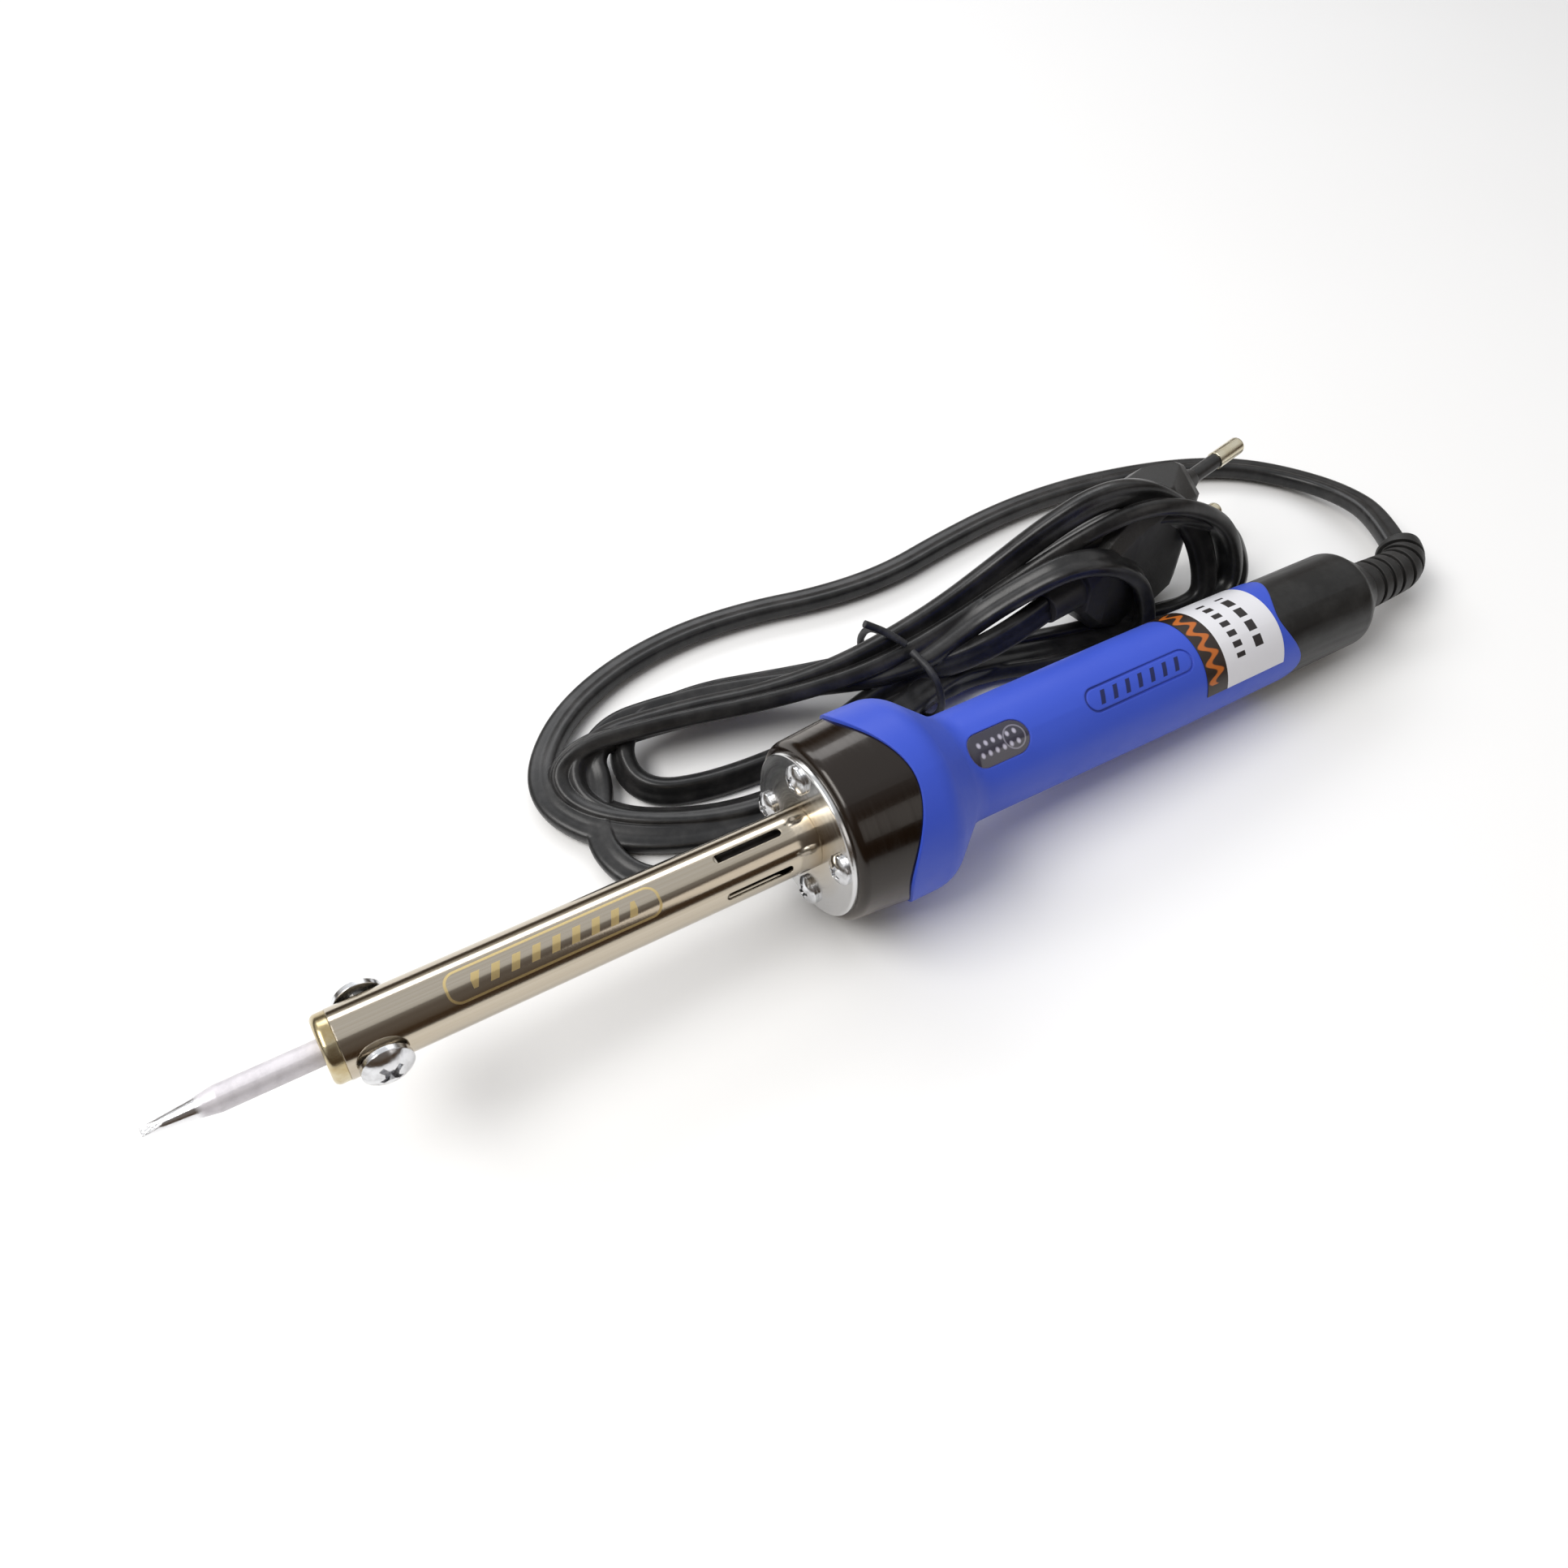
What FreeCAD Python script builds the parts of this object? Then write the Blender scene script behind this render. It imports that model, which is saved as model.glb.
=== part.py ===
import FreeCAD, Part
import math
import os
from FreeCAD import Vector

# A mains soldering iron lying on a flat surface, with its flat cord folded into a tied hank behind it.
# Built on the iron's own axis: +X from the tip towards the cord, Y and Z across it, Z through the
# middle of the lamp window. settle() then turns and tips the finished pieces into the row frame,
# where the iron rests on the flare of its grip and on the rear edge of its handle.

# How the iron lies
FACE_TURN = 27.6        # degrees the window side is rolled towards the front (-Y)
REST_TILT = 4.0         # degrees the axis drops towards the cord end
AXIS_HEIGHT = 28.435    # height of the axis above the surface at the tip's end
ORIGIN_X = 143.11       # distance from the tip's end to the middle of the iron's length

# Tip
TIP_R = 2.2
TIP_LENGTH = 78.0
TIP_CONE = 8.0
TIP_SHOULDER = 11.0
TIP_END_R = 0.75
TIP_BEVEL_DEPTH = 0.35

# Barrel and what is in it
BARREL_R = 6.0
BARREL_WALL = 0.5
BARREL_START = 29.2
BARREL_END = 114.8
LIP_START = 26.6
BUSH_END = 43.0
FIT_GAP = 0.02          # radial gap of pieces that are pressed together
RUN_GAP = 0.05          # radial gap of pieces that turn or slide
CLAMP_X = 34.6
CLAMP_ANGLES = {"lower": 59.0, "upper": -121.0}
CLAMP_LIFT = {"lower": 0.8, "upper": 0.1}
CLAMP_SHANK_R = 2.0
CLAMP_HEAD_R = 4.2
CLAMP_HEAD_H = 2.7
SLOT_COUNT = 5
SLOT_FIRST = -19.6
SLOT_LENGTH = 13.4
SLOT_WIDTH = 1.6
SLOT_START = 95.4
BOBBIN_START = 46.0
BOBBIN_END = 96.0
BOBBIN_R = 3.3
BOBBIN_BORE_R = 2.45
WINDING_R = 3.8
WINDING_TURNS = 22
MICA_R = 4.6
MICA_BORE_R = 4.2
MICA_INSET = 2.0        # the mica ends this far inside the bobbin's ends
BEAD_R = 3.5
BEAD_START = 97.5
BEAD_END = 128.0
BEAD_BORE_R = 0.75
WIRE_OFFSET = 1.5       # the two heater wires lie this far each side of the axis
WIRE_R = 0.7
WIRE_START = 96.2
WIRE_LENGTH = 52.0

# Flange and its screws
FLANGE_R = 15.85
FLANGE_THICK = 1.1
FLANGE_NECK_R = 6.5
FLANGE_NECK_LENGTH = 5.0
SCREW_CIRCLE_R = 12.3
SCREW_R = 1.5
SCREW_LENGTH = 10.0
SCREW_HEAD_R = 2.85
SCREW_HEAD_H = 1.9

# Handle
COLLAR_START = BARREL_END + FLANGE_THICK
COLLAR_FRONT_R = 17.45
COLLAR_REAR_R = 18.75
COLLAR_END = 133.0      # before the wavy cut
GRIP_START = 120.0      # before the wavy cut
GRIP_END = 238.0        # before the wavy cut
FLARE_R = 19.1
FLARE_END = 136.2
WAIST_START = 146.4
WAIST_R = 10.98
BELLY_X = 200.0
BELLY_R = 11.35
GRIP_REAR_R = 11.02
FRONT_WAVE_X = 128.1
REAR_WAVE_X = 229.3
WAVE_DEPTH = 2.45
WAVE_LOBES = 3
CAP_START = 222.0       # before the wavy cut
CAP_R = 10.78
CAP_END = 254.0
CAP_NECK_X = 261.5
CAP_NECK_R = 6.0
CORE_SKIN_R = 9.4       # outside of the core under the soft grip
CORE_BORE_R = 7.6
CORE_BELL_R = 13.8      # inside of the core's wide front
CORE_BELL_END = 133.5
CORE_BORE_START = 142.0
CORE_END_WALL = 2.5     # thickness of the core's rear end
CORE_FLARE_R = 17.0
CORE_MOUTH_R = 16.0     # outside of the core where it enters the collar
CORE_MOUTH_START = COLLAR_START + 4
BOSS_R = 2.7            # screw bosses of the collar
BOSS_LENGTH = 7.9
BOSS_ROOM = 0.4         # clearance of the core round each boss
BOOT_SEAT_R = 4.2
BOOT_SEAT_START = 250.0  # front of the hole for the boot's root
WINDOW_X = 153.3
WINDOW_LENGTH = 14.0
WINDOW_WIDTH = 6.9
WINDOW_GAP = 0.05
LABEL_START = 203.8
LABEL_END = 225.8
LABEL_THICK = 0.12
LABEL_ANGLES = (-130.0, 48.0)
OUTLINE_START = 174.5   # moulded outline on the grip
OUTLINE_LENGTH = 27.5
OUTLINE_WIDTH = 5.2
OUTLINE_GROOVE = 0.45
OUTLINE_DEPTH = 0.25

# Wiring inside the handle
NEON_R = 1.9
NEON_LENGTH = 9.0
NEON_HEIGHT = 4.6
RESISTOR_R = 1.2
RESISTOR_START = 176.0
RESISTOR_END = 182.5
CORE_OFFSET = 2.6       # the cord's two conductors lie this far each side of the axis
CRIMP_R = 1.45
CRIMP_START = 148.4
CRIMP_LENGTH = 9.0
CRIMP_DROP = 0.2
CORD_WIRE_R = 1.0
CORD_WIRE_START = 157.6
CORD_WIRE_LENGTH = 82.0
CORD_WIRE_DROP = 2.0
STOP_R = 4.6
STOP_START = 240.0
STOP_END = 246.5
TAIL_R = 2.7
TAIL_START = 239.8
TAIL_END = 247.3

# Cord
CORD_WIDTH = 5.4
CORD_R = CORD_WIDTH / 2
BOOT_BEND_X = 274.0
BOOT_BEND_R = 9.0
BOOT_BEND = 60.0
BOOT_START_R = 5.7
BOOT_BEND_OUTER_R = 5.1
BOOT_END_RUN = 1.5
BOOT_END_ROUND = 1.2
BOOT_FLANGE_R = 5.8     # the root's flange, held inside the core
BOOT_FLANGE_START = 247.5
BOOT_FLANGE_END = 249.8
BOOT_GROOVES = [264.4 + 3.3 * i for i in range(3)]      # distances of the straight stretch's grooves
BOOT_BEND_GROOVES = [4.0, 22.0, 40.0]                   # angles of the grooves round the bend
GROOVE_WIDTH = 1.3
GROOVE_DEPTH = 0.85

# Plug: it stands on its long edge
PLUG_TIP = Vector(256.0, 38.4, 17.9)    # midway between the pin tips
PLUG_HEADING = 11.0
PIN_R = 2.0
PIN_LENGTH = 19.0
PIN_SLEEVE = 10.0
SLEEVE_R = 1.75
PIN_CORE_R = 1.35        # pin under its sleeve
PIN_HALF_PITCH = 9.3
PLUG_FACE = 24.0        # the body's front, back from the pin tips
PLUG_HALF_WIDTH = 17.65
PLUG_HALF_THICK = 6.85
PLUG_TAIL = 66.0

UP = Vector(0, 0, 1)
AXIS = Vector(1, 0, 0)
NODES = {}


def settle(shape, rolled=True):
    """Turn a piece made on the iron's axis into the row frame."""
    placed = shape.copy()
    if rolled:
        placed.rotate(Vector(0, 0, 0), AXIS, FACE_TURN)
    placed.rotate(Vector(0, 0, 0), Vector(0, 1, 0), REST_TILT)
    placed.translate(Vector(-ORIGIN_X, 0, AXIS_HEIGHT))
    return placed


def add(name, shape):
    NODES[name] = shape


def tube(start, end, outer, inner=0.0):
    """A round bar or tube on the iron's axis."""
    bar = Part.makeCylinder(outer, end - start, Vector(start, 0, 0), AXIS)
    if inner > 0:
        bore = Part.makeCylinder(inner, end - start + 2, Vector(start - 1, 0, 0), AXIS)
        bar = bar.cut(bore)
    return bar


def turned(points):
    """A solid turned from an outline of (x, radius) points."""
    corners = [Vector(x, 0, r) for x, r in points]
    wire = Part.makePolygon(corners + [corners[0]])
    return Part.Face(wire).revolve(Vector(0, 0, 0), AXIS, 360)


def radial(angle, radius=1.0):
    """A point at an angle round the axis, 0 at the window, positive towards the front."""
    a = math.radians(angle)
    return Vector(0, -radius * math.sin(a), radius * math.cos(a))


def obround(x_middle, length, width, low, high, angle=0.0):
    """An upright bar with rounded ends, long along X, standing out at an angle round the axis."""
    half = (length - width) / 2
    block = Part.makeBox(2 * half, width, high - low, Vector(x_middle - half, -width / 2, low))
    for side in (-1, 1):
        end = Part.makeCylinder(width / 2, high - low, Vector(x_middle + side * half, 0, low), UP)
        block = block.fuse(end)
    block = block.removeSplitter()
    block.rotate(Vector(0, 0, 0), AXIS, angle)
    return block


def group(solids):
    return Part.makeCompound(solids)


# ---------------------------------------------------------------- tip

def make_tip():
    """Plated copper rod with a coned, bevelled working end."""
    rod = turned([(0, 0), (0, TIP_END_R), (TIP_CONE, TIP_R * 0.78), (TIP_SHOULDER, TIP_R),
                  (TIP_LENGTH - 0.5, TIP_R), (TIP_LENGTH, TIP_R - 0.5), (TIP_LENGTH, 0)])
    bevel = Part.makeBox(12, 8, 4, Vector(-6, -4, 0))
    bevel.rotate(Vector(0, 0, 0), Vector(0, 1, 0), -14)
    bevel.translate(Vector(0, 0, TIP_BEVEL_DEPTH))
    return rod.cut(bevel)


# ---------------------------------------------------------------- barrel

def clamp_hole(radius, start, end, angle):
    return Part.makeCylinder(radius, end - start, Vector(CLAMP_X, 0, 0) + radial(angle, start), radial(angle))


def make_nose_bush():
    """Turned bush in the mouth of the barrel, with a rounded lip and two threaded cross holes."""
    lip = tube(LIP_START, BARREL_START, BARREL_R - 0.12)
    lip = lip.makeFillet(1.1, [e for e in lip.Edges if isinstance(e.Curve, Part.Circle)
                               and abs(e.BoundBox.XMin - LIP_START) < 0.01])
    body = tube(BARREL_START, BUSH_END, BARREL_R - BARREL_WALL - FIT_GAP)
    bush = lip.fuse(body).removeSplitter()
    bush = bush.cut(tube(LIP_START - 1, BUSH_END + 1, TIP_R + RUN_GAP))
    for angle in CLAMP_ANGLES.values():
        bush = bush.cut(clamp_hole(CLAMP_SHANK_R + RUN_GAP, 0, BARREL_R, angle))
    return bush


def phillips(radius, depth):
    """Cutter for a cross recess at the top of a screw head whose axis is +Z."""
    cross = None
    for turn in (0, 90):
        wing = Part.makeBox(2 * radius, radius * 0.42, depth, Vector(-radius, -radius * 0.21, -depth))
        wing.rotate(Vector(0, 0, 0), UP, turn)
        cross = wing if cross is None else cross.fuse(wing)
    return cross.fuse(Part.makeCone(0.05, radius * 0.55, depth * 1.3, Vector(0, 0, -depth * 1.3), UP))


def pan_screw(head_r, head_h, shank_r, length):
    """Domed cross-head screw along +Z, the underside of its head at z = 0."""
    crown = head_h
    rim = head_h * 0.35
    sphere_r = (head_r ** 2 + (crown - rim) ** 2) / (2 * (crown - rim))
    head = Part.makeCylinder(head_r, crown, Vector(0, 0, 0), UP)
    dome = Part.makeSphere(sphere_r, Vector(0, 0, crown - sphere_r))
    head = head.common(dome)
    shank = Part.makeCylinder(shank_r, length, Vector(0, 0, -length), UP)
    shank = shank.makeChamfer(shank_r * 0.25, [e for e in shank.Edges
                                               if abs(e.BoundBox.ZMax + length) < 0.01])
    screw = head.fuse(shank).removeSplitter()
    cross = phillips(head_r * 0.52, head_h * 0.55)
    cross.translate(Vector(0, 0, crown))
    return screw.cut(cross)


def make_clamp_screw(which):
    """M4 pan-head screw that bears on the tip through the barrel and the bush."""
    seat = BARREL_R + CLAMP_LIFT[which]
    point = TIP_R + RUN_GAP
    screw = pan_screw(CLAMP_HEAD_R, CLAMP_HEAD_H, CLAMP_SHANK_R, seat - point)
    screw.rotate(Vector(0, 0, 0), UP, 35)
    screw.translate(Vector(CLAMP_X, 0, seat))
    screw.rotate(Vector(0, 0, 0), AXIS, CLAMP_ANGLES[which])
    return screw


def make_barrel():
    """Rolled steel tube with two screw holes in front and vent slots round its rear end."""
    barrel = tube(BARREL_START, BARREL_END, BARREL_R, BARREL_R - BARREL_WALL)
    for angle in CLAMP_ANGLES.values():
        barrel = barrel.cut(clamp_hole(CLAMP_SHANK_R + 0.25, 3, BARREL_R + 1, angle))
    middle = SLOT_START + SLOT_LENGTH / 2
    for i in range(SLOT_COUNT):
        angle = SLOT_FIRST + i * 360 / SLOT_COUNT
        barrel = barrel.cut(obround(middle, SLOT_LENGTH, SLOT_WIDTH, 3, 8, angle))
    return barrel


def make_bobbin():
    """Ceramic bobbin that the heating wire is wound on; the tip's rear end lies in its bore."""
    flange_r = BARREL_R - BARREL_WALL - FIT_GAP
    bobbin = tube(BOBBIN_START, BOBBIN_END, BOBBIN_R)
    bobbin = bobbin.fuse(tube(BOBBIN_START, BOBBIN_START + 1.5, flange_r))
    bobbin = bobbin.fuse(tube(BOBBIN_END - 1.5, BOBBIN_END, flange_r)).removeSplitter()
    bobbin = bobbin.cut(tube(BOBBIN_START - 1, BOBBIN_END + 1, BOBBIN_BORE_R))
    for side in (-1, 1):
        notch = Part.makeCylinder(0.6, 4, Vector(BOBBIN_END - 3, side * 4.55, 0), AXIS)
        bobbin = bobbin.cut(notch)
    return bobbin


def make_winding():
    """Heating wire, as a sleeve with one ridge for each turn."""
    start = BOBBIN_START + 2.5
    pitch = (BOBBIN_END - BOBBIN_START - 5) / WINDING_TURNS
    points = [(start, BOBBIN_R + FIT_GAP)]
    for i in range(WINDING_TURNS):
        points.append((start + i * pitch, WINDING_R - 0.2))
        points.append((start + (i + 0.5) * pitch, WINDING_R))
    points.append((start + WINDING_TURNS * pitch, WINDING_R - 0.2))
    points.append((start + WINDING_TURNS * pitch, BOBBIN_R + FIT_GAP))
    return turned(points)


def make_bead():
    """Twin-bore ceramic tube that carries the heater wires back through the flange."""
    bead = tube(BEAD_START, BEAD_END, BEAD_R)
    for side in (-1, 1):
        bead = bead.cut(Part.makeCylinder(BEAD_BORE_R, 40, Vector(BEAD_START - 5, side * WIRE_OFFSET, 0), AXIS))
    return bead


# ---------------------------------------------------------------- flange

def screw_angles():
    return [45 + 90 * i for i in range(4)]


def make_flange():
    """Steel disc swaged to the rear of the barrel, with a neck that reaches into the handle."""
    disc = tube(BARREL_END, COLLAR_START, FLANGE_R)
    disc = disc.makeFillet(0.35, [e for e in disc.Edges if isinstance(e.Curve, Part.Circle)
                                  and abs(e.BoundBox.XMin - BARREL_END) < 0.01])
    neck = tube(COLLAR_START, COLLAR_START + FLANGE_NECK_LENGTH, FLANGE_NECK_R)
    flange = disc.fuse(neck).removeSplitter()
    flange = flange.cut(tube(BARREL_END - 1, BEAD_END, BEAD_R + FIT_GAP))
    for angle in screw_angles():
        centre = Vector(BARREL_END - 1, 0, 0) + radial(angle, SCREW_CIRCLE_R)
        flange = flange.cut(Part.makeCylinder(SCREW_R + 0.1, 5, centre, AXIS))
    return flange


def make_flange_screws():
    """Four M3 pan-head screws through the flange into the collar."""
    screws = []
    for i, angle in enumerate(screw_angles()):
        screw = pan_screw(SCREW_HEAD_R, SCREW_HEAD_H, SCREW_R, SCREW_LENGTH)
        screw.rotate(Vector(0, 0, 0), UP, 20 + 31 * i)
        screw.rotate(Vector(0, 0, 0), Vector(0, 1, 0), -90)
        screw.translate(Vector(BARREL_END, 0, 0) + radial(angle, SCREW_CIRCLE_R))
        screws.append(screw)
    return group(screws)


# ---------------------------------------------------------------- handle

def wave_prism(x_mean, turn=0.0, inner=5.0, outer=26.0, length=60.0):
    """Everything behind a wavy ring round the axis: the scalloped join of two mouldings."""
    def ring(radius):
        points = []
        for i in range(48):
            a = math.radians(i * 360 / 48)
            x = x_mean + WAVE_DEPTH * math.cos(WAVE_LOBES * (a - math.radians(turn)))
            points.append(Vector(x, -radius * math.sin(a), radius * math.cos(a)))
        curve = Part.BSplineCurve()
        curve.interpolate(Points=points, PeriodicFlag=True)
        return curve.toShape()
    face = Part.makeRuledSurface(ring(inner), ring(outer))
    return face.extrude(Vector(length, 0, 0))


def filleted(points, radii):
    """A closed outline of (x, radius) points with some corners rounded, turned round the axis."""
    edges = []
    count = len(points)
    ends = []
    for i in range(count):
        here = Vector(points[i][0], 0, points[i][1])
        before = Vector(points[i - 1][0], 0, points[i - 1][1])
        after = Vector(points[(i + 1) % count][0], 0, points[(i + 1) % count][1])
        rounding = radii.get(i, 0)
        if rounding == 0:
            ends.append((here, here))
            continue
        a = (before - here).normalize()
        b = (after - here).normalize()
        half = a.getAngle(b) / 2
        reach = rounding / math.tan(half)
        start = here + a * reach
        end = here + b * reach
        centre = here + (a + b).normalize() * (rounding / math.sin(half))
        middle = centre + (here - centre).normalize() * rounding
        edges.append(Part.Arc(start, middle, end).toShape())
        ends.append((start, end))
    for i in range(count):
        start = ends[i][1]
        end = ends[(i + 1) % count][0]
        if start.distanceToPoint(end) > 1e-6:
            edges.append(Part.LineSegment(start, end).toShape())
    wire = Part.Wire(Part.__sortEdges__(edges))
    return Part.Face(wire).revolve(Vector(0, 0, 0), AXIS, 360)


def grip_outside(extra=0.0):
    """The full outer shape of the soft grip, before its ends are cut wavy."""
    return filleted([(GRIP_START, 4), (GRIP_START, FLARE_R + extra), (FLARE_END, FLARE_R + extra),
                     (WAIST_START, WAIST_R + extra), (BELLY_X, BELLY_R + extra),
                     (GRIP_END, GRIP_REAR_R + extra), (GRIP_END, 4)],
                    {2: 6.5, 3: 7.0, 4: 900.0})


def core_outside():
    """The core's outer shape under the grip."""
    return filleted([(CORE_MOUTH_START, 4), (CORE_MOUTH_START, CORE_MOUTH_R), (COLLAR_START + 9, CORE_FLARE_R),
                     (FLARE_END - 0.9, CORE_FLARE_R), (WAIST_START - 1.6, CORE_SKIN_R),
                     (CAP_END, CORE_SKIN_R), (CAP_END, 4)],
                    {3: 4.0, 4: 6.0})


def make_collar():
    """Glossy heat-proof ring at the mouth of the handle; the flange is screwed to it."""
    ring = filleted([(COLLAR_START, 4), (COLLAR_START, COLLAR_FRONT_R), (COLLAR_END, COLLAR_REAR_R + 0.28),
                     (COLLAR_END, 4)], {1: 1.7})
    ring = ring.cut(wave_prism(FRONT_WAVE_X))
    ring = ring.cut(tube(COLLAR_START - 1, COLLAR_END + 1, FLANGE_NECK_R + FIT_GAP))
    ring = ring.cut(core_outside())
    for angle in screw_angles():
        start = Vector(COLLAR_START, 0, 0) + radial(angle, SCREW_CIRCLE_R)
        boss = Part.makeCylinder(BOSS_R, BOSS_LENGTH, start, AXIS)
        ring = ring.fuse(boss)
    for angle in screw_angles():
        start = Vector(COLLAR_START - 1, 0, 0) + radial(angle, SCREW_CIRCLE_R)
        ring = ring.cut(Part.makeCylinder(SCREW_R + FIT_GAP, 9.6, start, AXIS))
    return ring.removeSplitter()


def make_core():
    """Rigid handle tube; its rear end shows behind the grip as the cap."""
    core = core_outside()
    skin = filleted([(CAP_START, CORE_SKIN_R - 1), (CAP_START, CAP_R + 0.12), (CAP_END, CAP_R),
                     (CAP_NECK_X, CAP_NECK_R), (CAP_NECK_X, 4), (CAP_END - 2, 4), (CAP_END - 2, CORE_SKIN_R - 1)],
                    {2: 2.6})
    skin = skin.common(wave_prism(REAR_WAVE_X, 60.0, inner=1.0))
    core = core.fuse(skin)
    hollow = filleted([(COLLAR_START, 0), (COLLAR_START, CORE_BELL_R + 0.2), (CORE_BELL_END - 4, CORE_BELL_R),
                       (CORE_BELL_END, CORE_BELL_R), (CORE_BORE_START, CORE_BORE_R),
                       (CAP_END - CORE_END_WALL, CORE_BORE_R), (CAP_END + 1, BOOT_SEAT_R), (CAP_END + 1, 0)],
                      {3: 3.0, 4: 4.0})
    core = core.cut(hollow)
    core = core.cut(tube(BOOT_SEAT_START, CAP_NECK_X + 2, BOOT_SEAT_R))
    core = core.cut(obround(WINDOW_X, WINDOW_LENGTH - 3, WINDOW_WIDTH - 2.4, 4, 14))
    for angle in screw_angles():
        start = Vector(COLLAR_START, 0, 0) + radial(angle, SCREW_CIRCLE_R)
        core = core.cut(Part.makeCylinder(BOSS_R + BOSS_ROOM, BOSS_LENGTH + 2, start, AXIS))
    return core.removeSplitter()


def make_grip():
    """Soft blue sleeve moulded over the core, with a flare that keeps the hand off the barrel."""
    grip = grip_outside().common(wave_prism(FRONT_WAVE_X, 0.0, length=115.0))
    grip = grip.cut(wave_prism(REAR_WAVE_X, 60.0))
    grip = grip.cut(core_outside())
    grip = grip.cut(tube(GRIP_START - 1, GRIP_END + 1, CORE_SKIN_R))
    grip = grip.cut(obround(WINDOW_X, WINDOW_LENGTH, WINDOW_WIDTH, 4, 14))
    middle = OUTLINE_START + OUTLINE_LENGTH / 2
    outline = obround(middle, OUTLINE_LENGTH, OUTLINE_WIDTH, 8, 14)
    inside = obround(middle, OUTLINE_LENGTH - 2 * OUTLINE_GROOVE, OUTLINE_WIDTH - 2 * OUTLINE_GROOVE, 7, 15)
    outline = outline.cut(inside)
    outline = outline.cut(grip_outside(-OUTLINE_DEPTH))
    return grip.cut(outline)


def make_window():
    """Clear moulded lens over the pilot lamp, flush with the grip."""
    lens = obround(WINDOW_X, WINDOW_LENGTH - 2 * WINDOW_GAP, WINDOW_WIDTH - 2 * WINDOW_GAP, 6, 14)
    lens = lens.common(grip_outside(-0.15))
    lens = lens.cut(core_outside())
    reach = WINDOW_LENGTH
    return lens.cut(tube(WINDOW_X - reach, WINDOW_X + reach, CORE_SKIN_R + FIT_GAP))


def make_label():
    """Printed foil wrapped part of the way round the grip."""
    first, last = LABEL_ANGLES
    ring = grip_outside(FIT_GAP + LABEL_THICK).cut(grip_outside(FIT_GAP))
    band = tube(LABEL_START, LABEL_END, 14, 8)
    ring = ring.common(band)
    corner = Vector(0, 0, 0)
    sector = Part.Face(Part.makePolygon([corner, radial(last, 30), radial((first + last) / 2 + 45, 40),
                                         radial((first + last) / 2, 30), radial((first + last) / 2 - 45, 40),
                                         radial(first, 30), corner]))
    sector.translate(Vector(LABEL_START - 1, 0, 0))
    return ring.common(sector.extrude(Vector(LABEL_END - LABEL_START + 2, 0, 0)))


# ---------------------------------------------------------------- wiring inside the handle

def make_neon():
    """Small glass pilot lamp under the window."""
    start = Vector(WINDOW_X - NEON_LENGTH / 2, 0, NEON_HEIGHT)
    bulb = Part.makeCylinder(NEON_R, NEON_LENGTH, start, AXIS)
    return bulb.makeFillet(1.2, [e for e in bulb.Edges if isinstance(e.Curve, Part.Circle)])


# ---------------------------------------------------------------- cord

def corner_radius(before, here, after):
    """0.45 of the shorter run, divided by the tangent of half the turn."""
    a = here - before
    b = after - here
    turn = a.getAngle(b)
    return 0.45 * min(a.Length, b.Length) / math.tan(turn / 2)


def rounded_path(points):
    """One wire of straight runs joined by tangent arcs through the route."""
    edges = []
    start = points[0]
    for i in range(1, len(points) - 1):
        before, here, after = points[i - 1], points[i], points[i + 1]
        radius = corner_radius(before, here, after)
        a = (before - here).normalize()
        b = (after - here).normalize()
        half = a.getAngle(b) / 2
        reach = radius / math.tan(half)
        first = here + a * reach
        last = here + b * reach
        centre = here + (a + b).normalize() * (radius / math.sin(half))
        middle = centre + (here - centre).normalize() * radius
        edges.append(Part.LineSegment(start, first).toShape())
        edges.append(Part.Arc(first, middle, last).toShape())
        start = last
    edges.append(Part.LineSegment(start, points[-1]).toShape())
    return Part.Wire(edges)


def piped(path, points, radius):
    heading = points[1] - points[0]
    ring = Part.Wire(Part.makeCircle(radius, points[0], heading))
    return path.makePipeShell([ring], True, True)


# The cord's free run, from the boot round behind the iron to the left end of the hank.
LEAD_ROUTE = [(138.7, 5.8, 8.7), (145.1, 16.9, 7.9), (147.4, 29.6, 5.2), (144.2, 42.0, 3.1), (136.2, 52.0, 2.8),
              (124.4, 59.2, 2.8), (109.3, 64.6, 2.8), (91.8, 68.6, 2.8), (72.8, 69.8, 2.8), (53.8, 68.2, 2.8),
              (35.8, 65.6, 2.8), (18.3, 67.2, 2.8), (1.3, 71.8, 2.8), (-16.2, 73.6, 2.8), (-34.0, 71.2, 2.8),
              (-49.0, 64.6, 2.8), (-59.6, 53.5, 3.0)]


def make_lead():
    points = [Vector(*p) for p in LEAD_ROUTE]
    path = rounded_path(points)
    solid = piped(path, points, CORD_R)
    radii = [corner_radius(points[i - 1], points[i], points[i + 1]) for i in range(1, len(points) - 1)]
    print("cord_lead radii", [round(r) for r in radii], "length", round(path.Length, 1))
    print("cord_lead volume / (section x length)", round(solid.Volume / (math.pi * CORD_R ** 2 * path.Length), 4))
    return solid


# Cross-sections of the tied hank: distance along the iron, front and back edge, and height.
HANK_SECTIONS = [(-62.5, 38, 50, 8), (-59, 17, 54, 11), (-51, 9.5, 57, 13), (-38, 9, 59, 13.5), (-28, 14, 59.5, 13.5),
                 (-8, 20, 56, 14.5), (4, 21, 51, 15.5), (15.8, 22, 46.5, 17.5), (30.8, 21.5, 44, 22), (44.8, 17.5, 42, 29),
                 (56.8, 14, 38, 37), (64.8, 13, 35, 41.5), (76.8, 13, 34, 41.5), (86.8, 13.5, 32, 36), (95.8, 15.5, 30, 26),
                 (102.8, 19, 28, 14)]


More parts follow.
